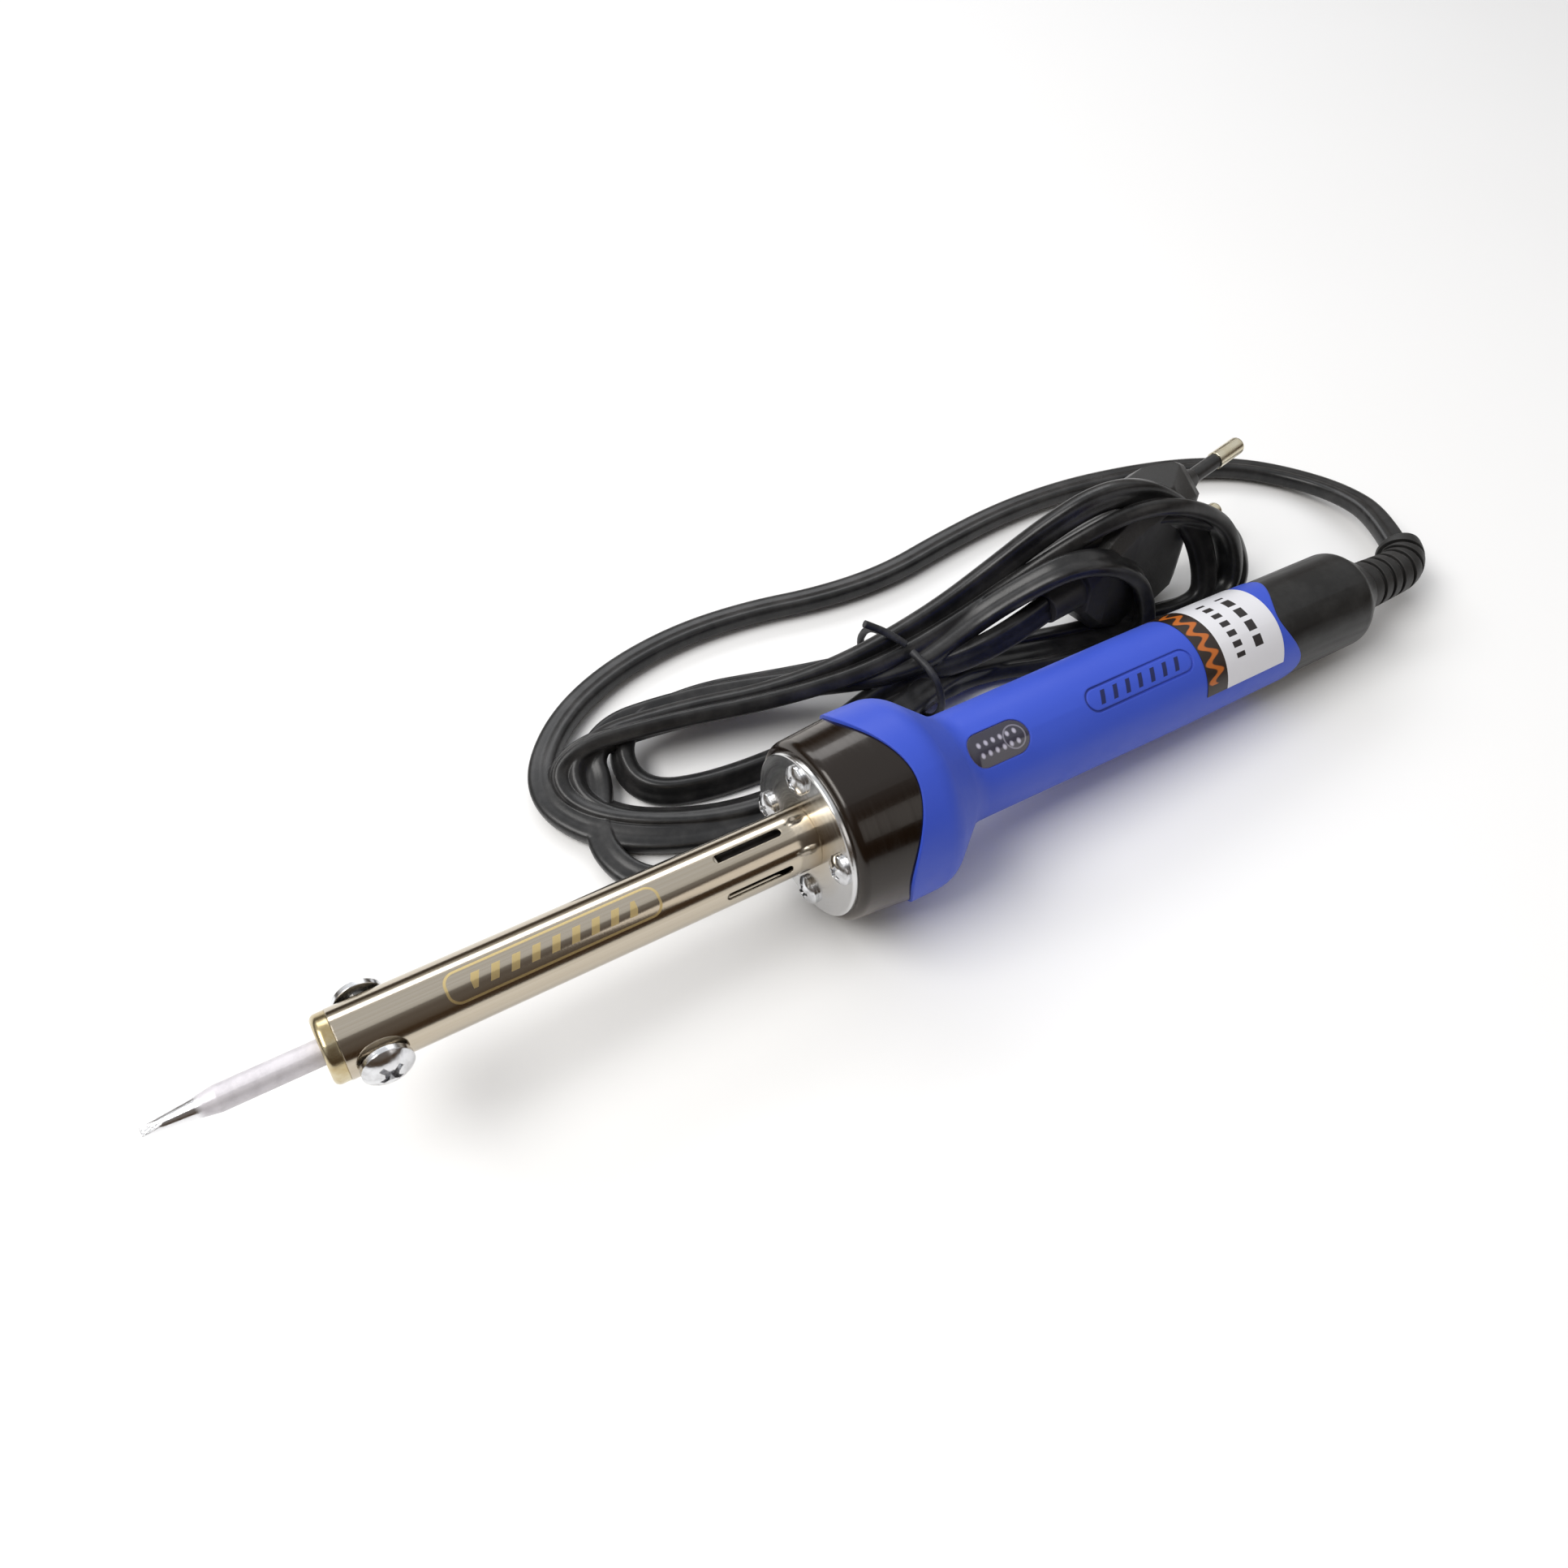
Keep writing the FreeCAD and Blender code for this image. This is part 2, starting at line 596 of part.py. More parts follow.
def make_hank():
    """The folded cord as one plain closed solid of its outer shape."""
    wires = []
    for x, front, back, height in HANK_SECTIONS:
        width = back - front
        corners = [(front + width * 0.12, 0.1), (back - width * 0.12, 0.1), (back, height * 0.22),
                   (back, height * 0.75), (back - width * 0.2, height), (front + width * 0.35, height),
                   (front, height * 0.55), (front, height * 0.22)]
        points = [Vector(x, y, z) for y, z in corners]
        wires.append(Part.makePolygon(points + [points[0]]))
    hank = Part.makeLoft(wires, True, True)
    return hank.cut(plug_place(plug_room()))


def make_boot():
    """Flexible ribbed strain relief, bent aside by the cord; its root fills the handle's rear hole."""
    root = tube(BOOT_FLANGE_END - 0.1, CAP_NECK_X, BOOT_SEAT_R - FIT_GAP)
    flange = tube(BOOT_FLANGE_START, BOOT_FLANGE_END, BOOT_FLANGE_R)
    cone = Part.makeCone(BOOT_START_R, BOOT_BEND_OUTER_R, BOOT_BEND_X - CAP_NECK_X, Vector(CAP_NECK_X, 0, 0), AXIS)
    pivot = Vector(BOOT_BEND_X, BOOT_BEND_R, 0)
    ring = Part.Face(Part.Wire(Part.makeCircle(BOOT_BEND_OUTER_R, Vector(BOOT_BEND_X, 0, 0), AXIS)))
    elbow = ring.revolve(pivot, UP, BOOT_BEND)
    last = ring.copy()
    last.rotate(pivot, UP, BOOT_BEND)
    heading = boot_heading()
    end = last.extrude(heading * BOOT_END_RUN)
    mouth = last.CenterOfMass + heading * BOOT_END_RUN
    end = end.makeFillet(BOOT_END_ROUND, [e for e in end.Edges if isinstance(e.Curve, Part.Circle)
                                          and e.Curve.Center.distanceToPoint(mouth) < 0.01])
    boot = root.fuse([flange, cone, elbow, end])
    taper = (BOOT_START_R - BOOT_BEND_OUTER_R) / (BOOT_BEND_X - CAP_NECK_X)
    for x in BOOT_GROOVES:
        floor = BOOT_START_R - taper * (x - CAP_NECK_X) - GROOVE_DEPTH
        boot = boot.cut(tube(x, x + GROOVE_WIDTH, BOOT_START_R + 2, floor))
    for angle in BOOT_BEND_GROOVES:
        groove = tube(BOOT_BEND_X, BOOT_BEND_X + GROOVE_WIDTH, BOOT_START_R + 2, BOOT_BEND_OUTER_R - GROOVE_DEPTH)
        groove.rotate(pivot, UP, angle)
        boot = boot.cut(groove)
    return boot.removeSplitter()


def boot_heading():
    a = math.radians(BOOT_BEND)
    return Vector(math.cos(a), math.sin(a), 0)


# The tie goes once round the hank's waist, and its twisted end stands up behind.
TIE_R = 0.8
TIE_LOOP = [(17.4, 31.0, 16.6), (18.6, 24.0, 15.0), (19.2, 20.8, 8.0), (18.4, 23.6, 1.4), (17.2, 34.0, 0.95),
            (16.0, 44.0, 1.6), (15.4, 47.4, 7.0), (15.6, 44.6, 13.6), (16.2, 36.0, 17.4)]
TIE_END = [(17.2, 33.0, 17.2), (14.2, 36.6, 19.4), (10.2, 38.6, 22.0)]


def make_twist_tie():
    """Plastic-covered wire twisted round the waist of the hank, its ends standing up."""
    loop = [Vector(*p) for p in TIE_LOOP]
    ends = [Vector(*p) for p in TIE_END]
    band = piped(rounded_path(loop), loop, TIE_R)
    return band.fuse(piped(rounded_path(ends), ends, TIE_R))


# ---------------------------------------------------------------- plug

def plug_place(shape):
    """A plug made with its pins along +X and its tips at x = 0 goes to where it stands."""
    placed = shape.copy()
    placed.rotate(Vector(0, 0, 0), UP, PLUG_HEADING)
    placed.translate(PLUG_TIP - Vector(ORIGIN_X, 0, 0))
    return placed


def plug_section(x, half_width, half_thick, shoulder, flat):
    """An eight-sided cross-section of the plug, its width upright and its narrow sides cut flat."""
    corners = [(half_thick, -shoulder), (half_thick, shoulder), (flat, half_width), (-flat, half_width),
               (-half_thick, shoulder), (-half_thick, -shoulder), (-flat, -half_width), (flat, -half_width)]
    points = [Vector(x, y, z) for y, z in corners]
    return Part.makePolygon(points + [points[0]])


def make_plug_body():
    """Moulded flat two-pin plug: bevelled round its face, flat on its narrow sides, drawn in to the cord."""
    full = PLUG_HALF_WIDTH
    thick = PLUG_HALF_THICK
    sections = [plug_section(-PLUG_FACE, full - 1.6, thick - 0.9, full - 6.0, 0.6),
                plug_section(-PLUG_FACE - 2.5, full, thick, full - 5.0, 0.8),
                plug_section(-PLUG_FACE - 9.0, full - 0.2, thick, full - 3.6, 4.2),
                plug_section(-PLUG_FACE - 22.0, full - 1.0, thick, full - 4.6, 4.4),
                plug_section(-PLUG_FACE - 28.0, full - 5.5, thick - 0.6, full - 8.5, 4.0),
                plug_section(-PLUG_FACE - 33.0, 5.2, 4.8, 3.4, 3.0)]
    body = Part.makeLoft(sections, True, True)
    tail = Part.makeCone(4.5, 3.4, PLUG_TAIL - PLUG_FACE - 32.0, Vector(-PLUG_FACE - 32.0, 0, 0), Vector(-1, 0, 0))
    body = body.fuse(tail)
    for side in (-1, 1):
        base = Part.makeCone(4.2, SLEEVE_R + 0.35, 6.5, Vector(-PLUG_FACE - 0.5, 0, side * PIN_HALF_PITCH), AXIS)
        body = body.fuse(base)
    for side in (-1, 1):
        socket = Part.makeCylinder(SLEEVE_R, 20, Vector(-PLUG_FACE - 6, 0, side * PIN_HALF_PITCH), AXIS)
        body = body.cut(socket)
    return body.removeSplitter()


def plug_room():
    """The space of the plug, with all that lies behind it, that the hank is cut clear of."""
    behind = 40.0
    floor = -PLUG_TIP.z - 1
    return Part.makeBox(PLUG_TAIL + 1, behind, PLUG_HALF_WIDTH - floor, Vector(-PLUG_TAIL, -PLUG_HALF_THICK, floor))


def make_plug_pins():
    pins = []
    for side in (-1, 1):
        pin = Part.makeCylinder(PIN_R, PIN_LENGTH - PIN_SLEEVE, Vector(-PIN_LENGTH + PIN_SLEEVE, 0, 0), AXIS)
        pin = pin.makeFillet(0.8, [e for e in pin.Edges if isinstance(e.Curve, Part.Circle)
                                   and abs(e.BoundBox.XMax) < 0.01])
        root = Part.makeCylinder(PIN_CORE_R, PLUG_FACE - 4, Vector(-PLUG_FACE - 5, 0, 0), AXIS)
        pin = pin.fuse(root)
        pin.translate(Vector(0, 0, side * PIN_HALF_PITCH))
        pins.append(pin)
    return group(pins)


def make_pin_sleeves():
    """Insulating sleeves on the roots of the pins, moulded into the body."""
    sleeves = []
    start = -PLUG_FACE - 6
    end = -PIN_LENGTH + PIN_SLEEVE
    for side in (-1, 1):
        sleeve = Part.makeCylinder(SLEEVE_R, end - start, Vector(start, 0, 0), AXIS)
        sleeve = sleeve.cut(Part.makeCylinder(PIN_CORE_R, end - start + 1, Vector(start + 1, 0, 0), AXIS))
        sleeve.translate(Vector(0, 0, side * PIN_HALF_PITCH))
        sleeves.append(sleeve)
    return group(sleeves)


# ---------------------------------------------------------------- assembly

add("tip", settle(make_tip()))
add("nose_bush", settle(make_nose_bush()))
for which in CLAMP_ANGLES:
    add("clamp_screw_" + which, settle(make_clamp_screw(which)))
add("barrel_tube", settle(make_barrel()))
add("heater_bobbin", settle(make_bobbin()))
add("heater_winding", settle(make_winding()))
add("mica_sleeve", settle(tube(BOBBIN_START + MICA_INSET, BOBBIN_END - MICA_INSET, MICA_R, MICA_BORE_R)))
add("ceramic_bead", settle(make_bead()))
add("heater_flange", settle(make_flange()))
add("flange_screws", settle(make_flange_screws()))
add("front_collar", settle(make_collar()))
add("handle_core", settle(make_core()))
add("grip_sleeve", settle(make_grip()))
add("lamp_window", settle(make_window()))
add("rating_label", settle(make_label()))

add("neon_lamp", settle(make_neon()))
add("lamp_resistor", settle(tube(RESISTOR_START, RESISTOR_END, RESISTOR_R)))
for side, name in ((1, "live"), (-1, "neutral")):
    wire = Part.makeCylinder(WIRE_R, WIRE_LENGTH, Vector(WIRE_START, side * WIRE_OFFSET, 0), AXIS)
    add("heater_wire_" + name, settle(wire))
    crimp = Part.makeCylinder(CRIMP_R, CRIMP_LENGTH, Vector(CRIMP_START, side * CORE_OFFSET, -CRIMP_DROP), AXIS)
    add("crimp_" + name, settle(crimp))
    conductor_start = Vector(CORD_WIRE_START, side * CORE_OFFSET, -CORD_WIRE_DROP)
    conductor = Part.makeCylinder(CORD_WIRE_R, CORD_WIRE_LENGTH, conductor_start, AXIS)
    add("cord_wire_" + name, settle(conductor))
add("cord_stop", settle(tube(STOP_START, STOP_END, STOP_R, TAIL_R + FIT_GAP)))
add("cord_tail", settle(tube(TAIL_START, TAIL_END, TAIL_R)))

add("strain_relief_boot", settle(make_boot(), rolled=False))
add("cord_lead", make_lead())
add("cord_hank", make_hank())
add("twist_tie", make_twist_tie())
add("plug_body", plug_place(make_plug_body()))
add("plug_pins", plug_place(make_plug_pins()))
add("pin_sleeves", plug_place(make_pin_sleeves()))

os.makedirs("parts", exist_ok=True)
for name, shape in NODES.items():
    print(name, "solids", len(shape.Solids), "valid", shape.isValid(), "volume", round(shape.Volume, 1))
    shape.exportStep(os.path.join("parts", name + ".step"))
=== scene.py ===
import math

import bpy
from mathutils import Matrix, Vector


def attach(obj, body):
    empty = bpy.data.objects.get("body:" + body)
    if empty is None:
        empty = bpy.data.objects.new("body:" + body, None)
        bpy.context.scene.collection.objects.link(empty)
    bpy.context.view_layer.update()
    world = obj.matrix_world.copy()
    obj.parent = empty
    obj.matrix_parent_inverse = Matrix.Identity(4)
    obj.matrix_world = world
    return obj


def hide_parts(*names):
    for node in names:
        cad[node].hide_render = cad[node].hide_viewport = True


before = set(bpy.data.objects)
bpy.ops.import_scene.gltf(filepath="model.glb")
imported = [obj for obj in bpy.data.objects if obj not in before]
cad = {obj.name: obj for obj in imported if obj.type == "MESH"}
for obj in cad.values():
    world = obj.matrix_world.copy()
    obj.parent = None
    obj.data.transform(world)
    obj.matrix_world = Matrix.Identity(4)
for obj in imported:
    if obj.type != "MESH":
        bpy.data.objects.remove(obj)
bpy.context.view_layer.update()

scene = bpy.context.scene

# ------------------------------------------------------------------ the view
# The eye is above the tip's side and a little in front of it, close enough for
# the iron to lie corner to corner. One frame unit is one metre.
cam_data = bpy.data.cameras.new("eye")
cam_data.lens = 28.88
cam_data.sensor_width = 36.0
cam_data.clip_start = 0.01
cam_data.clip_end = 20.0
eye = bpy.data.objects.new("eye", cam_data)
eye.location = (-0.10241, -0.11346, 0.20361)
eye.rotation_euler = (math.radians(38.81), 0.0, math.radians(-31.49))
scene.collection.objects.link(eye)
scene.camera = eye
scene.view_settings.view_transform = "Standard"
scene.view_settings.look = "None"

# ------------------------------------------------------------------ the table top
# A sheet of pale painted board, much wider than the iron. It is sprayed in
# matte white, so it has a very fine tooth and a slight unevenness of tone.
INPUT_ORDER = {"first": 0, "second": 1, "third": 2}


def new_finish(name):
    """A new material, with its net of nodes and its surface shader."""
    material = bpy.data.materials.new(name)
    material.use_nodes = True
    return material, material.node_tree, material.node_tree.nodes["Principled BSDF"]


def step(net, kind, operation=None, tree=None, **values):
    """Add a node to a net. Its inputs' values are given by their labels or their order."""
    node = net.nodes.new("ShaderNode" + kind)
    if tree:
        node.node_tree = tree
    if operation:
        node.operation = operation
    for label, value in values.items():
        node.inputs[INPUT_ORDER.get(label, label.replace("_", " "))].default_value = value
    return node


def join(net, *links):
    """Join nodes. Each link is a node and its output, then the next node and its input."""
    for source, output, target, entry in links:
        net.links.new(source.outputs[output], target.inputs[entry])


board_mesh = bpy.data.meshes.new("board")
board_mesh.from_pydata([(-3, -3, 0), (3, -3, 0), (3, 3, 0), (-3, 3, 0)], [], [(0, 1, 2, 3)])
board = bpy.data.objects.new("board", board_mesh)
scene.collection.objects.link(board)
board_paint, net, paint = new_finish("board_paint")
place = step(net, "TexCoord")
tone = step(net, "TexNoise", Scale=6.0, Detail=3.0)
shade = step(net, "ValToRGB")
shade.color_ramp.elements[0].color = (0.905, 0.902, 0.898, 1)
shade.color_ramp.elements[1].color = (0.93, 0.93, 0.93, 1)
tooth = step(net, "TexNoise", Scale=900.0)
rise = step(net, "Bump", Strength=0.06, Distance=0.0002)
join(net, (place, "Object", tone, "Vector"), (place, "Object", tooth, "Vector"),
     (tone, "Fac", shade, "Fac"), (shade, "Color", paint, "Base Color"), (tooth, "Fac", rise, "Height"),
     (rise, "Normal", paint, "Normal"))
paint.inputs["Roughness"].default_value = 0.75
board_mesh.materials.append(board_paint)

# ------------------------------------------------------------------ the light
# A white tent stands round the table: bright overhead and behind, darker and
# warmer low down and on the open near side, so that metal shows soft bands. Its
# cloth looks plain white from any side. Three soft boxes light it from inside.
def blend(net, **colours):
    """Add a mix of two colours, A and B. One that is left out is joined to another node."""
    node = net.nodes.new("ShaderNodeMix")
    node.data_type = "RGBA"
    for label, colour in colours.items():
        node.inputs[label].default_value = colour
    return node


tent = bpy.data.worlds.new("tent")
tent.use_nodes = True
scene.world = tent
net = tent.node_tree
cloth = net.nodes["Background"]
way = step(net, "TexCoord")
split = step(net, "SeparateXYZ")
height = step(net, "ValToRGB")
ramp = height.color_ramp
ramp.elements[0].position = 0.0
ramp.elements[0].color = (0.30, 0.28, 0.26, 1)
ramp.elements[1].position = 1.0
ramp.elements[1].color = (0.95, 0.97, 1.0, 1)
for spot, colour in ((0.08, (0.07, 0.052, 0.038, 1)), (0.24, (0.11, 0.085, 0.062, 1)),
                     (0.36, (0.62, 0.60, 0.57, 1)), (0.62, (0.90, 0.91, 0.92, 1))):
    ramp.elements.new(spot).color = colour
near_side = step(net, "MapRange", From_Min=-0.16, From_Max=-0.62, To_Max=0.86)
near_side.interpolation_type = "SMOOTHSTEP"
room = blend(net, B=(0.080, 0.048, 0.026, 1))
ray = step(net, "LightPath")
seen = blend(net, B=(1.16, 1.16, 1.16, 1))
join(net, (way, "Generated", split, "Vector"), (split, "Z", height, "Fac"),
     (split, "Y", near_side, "Value"), (height, "Color", room, "A"), (near_side, 0, room, "Factor"),
     (room, "Result", seen, "A"), (ray, "Is Camera Ray", seen, "Factor"), (seen, "Result", cloth, "Color"))
cloth.inputs["Strength"].default_value = 0.80
for name, spot, size, power, colour in (
    ("box_over_tip", (-0.42, 0.10, 0.62), (0.55, 0.30), 3.9, (1.0, 0.985, 0.96)),
    ("box_behind", (0.12, 0.62, 0.50), (0.80, 0.22), 1.8, (0.97, 0.98, 1.0)),
    ("box_near", (0.34, -0.52, 0.42), (0.45, 0.30), 0.4, (1.0, 0.98, 0.95)),
):
    lamp = bpy.data.lights.new(name, "AREA")
    lamp.shape = "RECTANGLE"
    lamp.size, lamp.size_y = size
    lamp.energy = power
    lamp.color = colour
    box = bpy.data.objects.new(name, lamp)
    box.location = spot
    box.rotation_euler = (Vector((0, 0.02, 0.02)) - Vector(spot)).to_track_quat("-Z", "Y").to_euler()
    scene.collection.objects.link(box)

# ------------------------------------------------------------------ places and wear
# Two effects that many finishes share. The first tells how far along the iron, round
# it and out from its axis a spot is. The second finds worn edges, scuffs and tooth.
def remap(net, low=0.0, high=1.0, start=0.0, end=1.0):
    """Add a map of a value: start becomes low, and end becomes high."""
    return step(net, "MapRange", From_Min=start, From_Max=end, To_Min=low, To_Max=high)


FROM_TIP = (0.14311, 0.0, -0.028435)
AXIS_DROP = math.radians(4.0)
FACE_ROLL = math.radians(27.6)
along_iron = bpy.data.node_groups.new("along_the_iron", "ShaderNodeTree")
for label in ("Along", "Round", "Out"):
    along_iron.interface.new_socket(label, in_out="OUTPUT", socket_type="NodeSocketFloat")
along_iron.interface.new_socket("Unrolled", in_out="OUTPUT", socket_type="NodeSocketVector")
spot = step(along_iron, "TexCoord")
lay = step(along_iron, "VectorMath", "ADD", second=FROM_TIP)
turn = step(along_iron, "VectorRotate", Angle=-AXIS_DROP)
turn.rotation_type = "Y_AXIS"
parts = step(along_iron, "SeparateXYZ")
flip = step(along_iron, "Math", "MULTIPLY", second=-1.0)
angle = step(along_iron, "Math", "ARCTAN2")
rolled = step(along_iron, "Math", "SUBTRACT", second=FACE_ROLL)
side2 = step(along_iron, "Math", "MULTIPLY")
up2 = step(along_iron, "Math", "MULTIPLY_ADD")
root = step(along_iron, "Math", "SQRT")
sheet = step(along_iron, "CombineXYZ")
out = along_iron.nodes.new("NodeGroupOutput")
join(along_iron, (spot, "Object", lay, 0), (lay, 0, turn, "Vector"), (turn, 0, parts, 0),
     (parts, "Y", flip, 0), (flip, 0, angle, 0), (parts, "Z", angle, 1), (parts, "Y", side2, 0),
     (parts, "Y", side2, 1), (parts, "Z", up2, 0), (parts, "Z", up2, 1), (side2, 0, up2, 2),
     (up2, 0, root, 0), (parts, "X", sheet, "X"), (angle, 0, rolled, 0), (rolled, 0, sheet, "Y"),
     (parts, "X", out, "Along"), (rolled, 0, out, "Round"), (root, 0, out, "Out"),
     (sheet, 0, out, "Unrolled"))

edge_wear = bpy.data.node_groups.new("wear_and_tooth", "ShaderNodeTree")
for label, value in (("Edge Radius", 0.0003), ("Tooth Scale", 3000.0), ("Tooth Height", 0.1),
                     ("Scuff Scale", 120.0)):
    socket = edge_wear.interface.new_socket(label, in_out="INPUT", socket_type="NodeSocketFloat")
    socket.default_value = value
for label in ("Edge", "Scuff", "Cloud"):
    edge_wear.interface.new_socket(label, in_out="OUTPUT", socket_type="NodeSocketFloat")
edge_wear.interface.new_socket("Normal", in_out="OUTPUT", socket_type="NodeSocketVector")
asked = edge_wear.nodes.new("NodeGroupInput")
out = edge_wear.nodes.new("NodeGroupOutput")
spot = step(edge_wear, "TexCoord")
rounded = step(edge_wear, "Bevel")
rounded.samples = 4
bare = step(edge_wear, "NewGeometry")
facing = step(edge_wear, "VectorMath", "DOT_PRODUCT")
edge = remap(edge_wear, start=0.995, end=0.80)
tooth = step(edge_wear, "TexNoise", Detail=2.0)
bump = step(edge_wear, "Bump", Distance=0.0001)
rub = step(edge_wear, "TexNoise", Detail=5.0, Roughness=0.65)
rubbed = remap(edge_wear, start=0.42, end=0.68)
cloud = step(edge_wear, "TexNoise", Scale=38.0, Detail=3.0)
join(edge_wear, (asked, "Edge Radius", rounded, "Radius"), (rounded, "Normal", facing, 0),
     (bare, "Normal", facing, 1), (facing, "Value", edge, "Value"), (spot, "Object", tooth, "Vector"),
     (asked, "Tooth Scale", tooth, "Scale"), (tooth, "Fac", bump, "Height"),
     (asked, "Tooth Height", bump, "Strength"), (rounded, "Normal", bump, "Normal"),
     (spot, "Object", rub, "Vector"), (asked, "Scuff Scale", rub, "Scale"), (rub, "Fac", rubbed, "Value"),
     (spot, "Object", cloud, "Vector"), (edge, 0, out, "Edge"), (rubbed, 0, out, "Scuff"),
     (cloud, "Fac", out, "Cloud"), (bump, "Normal", out, "Normal"))

# ------------------------------------------------------------------ mains lead and hank
# Flat two-core cord, 5.4 by 3.3 mm, in satin black sheath. It leaves the boot,
# sweeps behind the iron, is folded into a tied hank and ends in the plug. The
# route is in millimetres.
CORD_WIDTH = 0.0054
CORD_THICK = 0.0033
lead_route = [(138.7, 5.8, 8.7), (145.1, 16.9, 7.9), (147.4, 29.6, 5.2), (144.2, 42.0, 3.1),
              (136.2, 52.0, 2.8), (124.4, 59.2, 2.8), (109.3, 64.6, 2.8), (91.8, 68.6, 2.8),
              (72.8, 69.8, 2.8), (53.8, 68.2, 2.8), (35.8, 65.6, 2.8), (18.3, 67.2, 2.8),
              (1.3, 71.8, 2.8), (-16.2, 73.6, 2.8), (-34.0, 71.2, 2.8), (-49.0, 64.6, 2.8),
              (-59.6, 53.5, 3.0)]
# the first fold, at the end nearest the tip, then back along the floor
route = lead_route + [(-61.8, 43.5, 2.9), (-57, 33.5, 2.8), (-48.5, 26.0, 2.8), (-38, 21.0, 2.8),
                      (-26, 18.6, 2.8), (-13, 19.3, 2.8), (1, 24.0, 3.2)]
# Each fold is (share of its reach, y, z) from the tied waist out and back again.
WAIST = 16.0
rear_fold = [(0.10, 30.0, 5), (0.24, 31.0, 3), (0.40, 28.5, 2.8), (0.57, 24.5, 2.8), (0.74, 22, 2.8),
             (0.89, 19.5, 2.8), (0.985, 19.0, 5), (1.0, 21.5, 11), (0.955, 23.5, 20), (0.85, 24, 28),
             (0.71, 24.5, 34.5), (0.585, 26.5, 35), (0.46, 29.5, 29.5), (0.33, 32.5, 22),
             (0.19, 33.5, 16.5), (0.06, 34, 13)]
front_fold = [(0.10, 34.5, 12), (0.26, 36.5, 11.5), (0.42, 40, 10.5), (0.58, 44, 10), (0.74, 47.5, 9.5),
              (0.88, 50.5, 8.5), (0.985, 49.5, 5.5), (1.0, 43, 3.2), (0.94, 35, 2.8), (0.80, 27, 2.8),
              (0.64, 21.5, 2.8), (0.46, 19.5, 2.8), (0.28, 22.5, 2.8), (0.12, 27, 4)]
# The folds differ: reach, height or drift of the end, how far the two strands spread,
# and where each sits in the waist. The third front fold also strays to the near side.
rear_folds = [(84.5, 36.5, 0, 0.5, (0, 1.5), (-1, 0)), (77, 40, 3.8, 2.6, (3.4, 2.4), (2.5, 0.5)),
              (58.5, 31, -2.5, -1.5, (-3.6, 0.5), (-4.5, 1.5)), (87, 31, 2.0, -2.5, (3.0, -2.0), (-1, 4.5))]
front_folds = [(74.5, 0, 1.0, 0.0, (-0.5, 1.5), (1.5, -0.5), 0),
               (70.5, -1.5, 3.5, 3.0, (3.2, 2.0), (4, 0.5), 0),
               (66.5, 0, 6.0, 2.0, (-3.5, 0), (-2.5, 2.5), 1),
               (60.5, -2, 11.0, 11.5, (4.5, -2.0), (1.0, 4.0), 0)]
for rear, front in zip(rear_folds, front_folds):
    reach, top, upper, lower, waist_up, waist_down = rear
    for i, (share, y, z) in enumerate(rear_fold):
        lift = max(0, (z - 3) / 32)
        tied = max(0, 1 - share / 0.35)
        dy, dz = waist_up if i > 8 else waist_down
        y += upper * lift * (1 - tied) + lower * (1 - lift) * math.sin(math.pi * share) + dy * tied
        if z > 3:
            z = 3 + (z - 3) * (1 + (top - 36) / 33 * (1 - tied))
        route.append((WAIST + share * reach, y, max(2.8, z + dz * tied)))
    reach, drift, far, near, waist_up, waist_down, swing = front
    for i, (share, y, z) in enumerate(front_fold):
        bow = math.sin(math.pi * share)
        tied = max(0, 1 - share / 0.35)
        dy, dz = waist_up if i < 7 else waist_down
        stray = swing * math.sin(math.pi * max(0, i - 7) / 7)
        y += (far if i < 7 else near) * bow + drift * share + dy * tied - 9 * stray
        z += dz * tied - (far * 0.45 * bow if i < 7 else 0)
        route.append((WAIST - share * reach - 24 * stray, y, max(2.8, z)))
# the last strand climbs from the waist into the plug's tail
route += [(19, 31.5, 9), (28, 27, 12.5), (38, 24.3, 16.8), (48.3, 25.9, 17.9)]

section = bpy.data.curves.new("cord_section", "CURVE")
section.dimensions = "2D"
outline = section.splines.new("NURBS")
half_w, half_t = CORD_WIDTH / 2, CORD_THICK / 2
corners = [(-half_w, -half_t * 0.45), (-half_w, half_t * 0.45), (-half_w * 0.86, half_t),
           (-half_w * 0.3, half_t), (0, half_t * 0.86), (half_w * 0.3, half_t),
           (half_w * 0.86, half_t), (half_w, half_t * 0.45), (half_w, -half_t * 0.45),
           (half_w * 0.86, -half_t), (half_w * 0.3, -half_t), (0, -half_t * 0.86),
           (-half_w * 0.3, -half_t), (-half_w * 0.86, -half_t)]
outline.points.add(len(corners) - 1)
for point, (x, y) in zip(outline.points, corners):
    point.co = (x * 1.06, y * 1.06, 0, 1)
outline.use_cyclic_u = True
outline.order_u = 3
outline.resolution_u = 2
section_object = bpy.data.objects.new("cord_section", section)
scene.collection.objects.link(section_object)
section_object.hide_render = True
section_object.hide_viewport = True
flex = bpy.data.curves.new("mains_cord", "CURVE")
flex.dimensions = "3D"
flex.twist_mode = "MINIMUM"
flex.bevel_mode = "OBJECT"
flex.bevel_object = section_object
flex.use_fill_caps = True
flex.resolution_u = 10
run = flex.splines.new("NURBS")
run.points.add(len(route) - 1)
for point, (x, y, z) in zip(run.points, route):
    point.co = (x / 1000, y / 1000, z / 1000, 1)
run.order_u = 3
run.use_endpoint_u = True
run.resolution_u = 10
mains_cord = bpy.data.objects.new("mains_cord", flex)
scene.collection.objects.link(mains_cord)

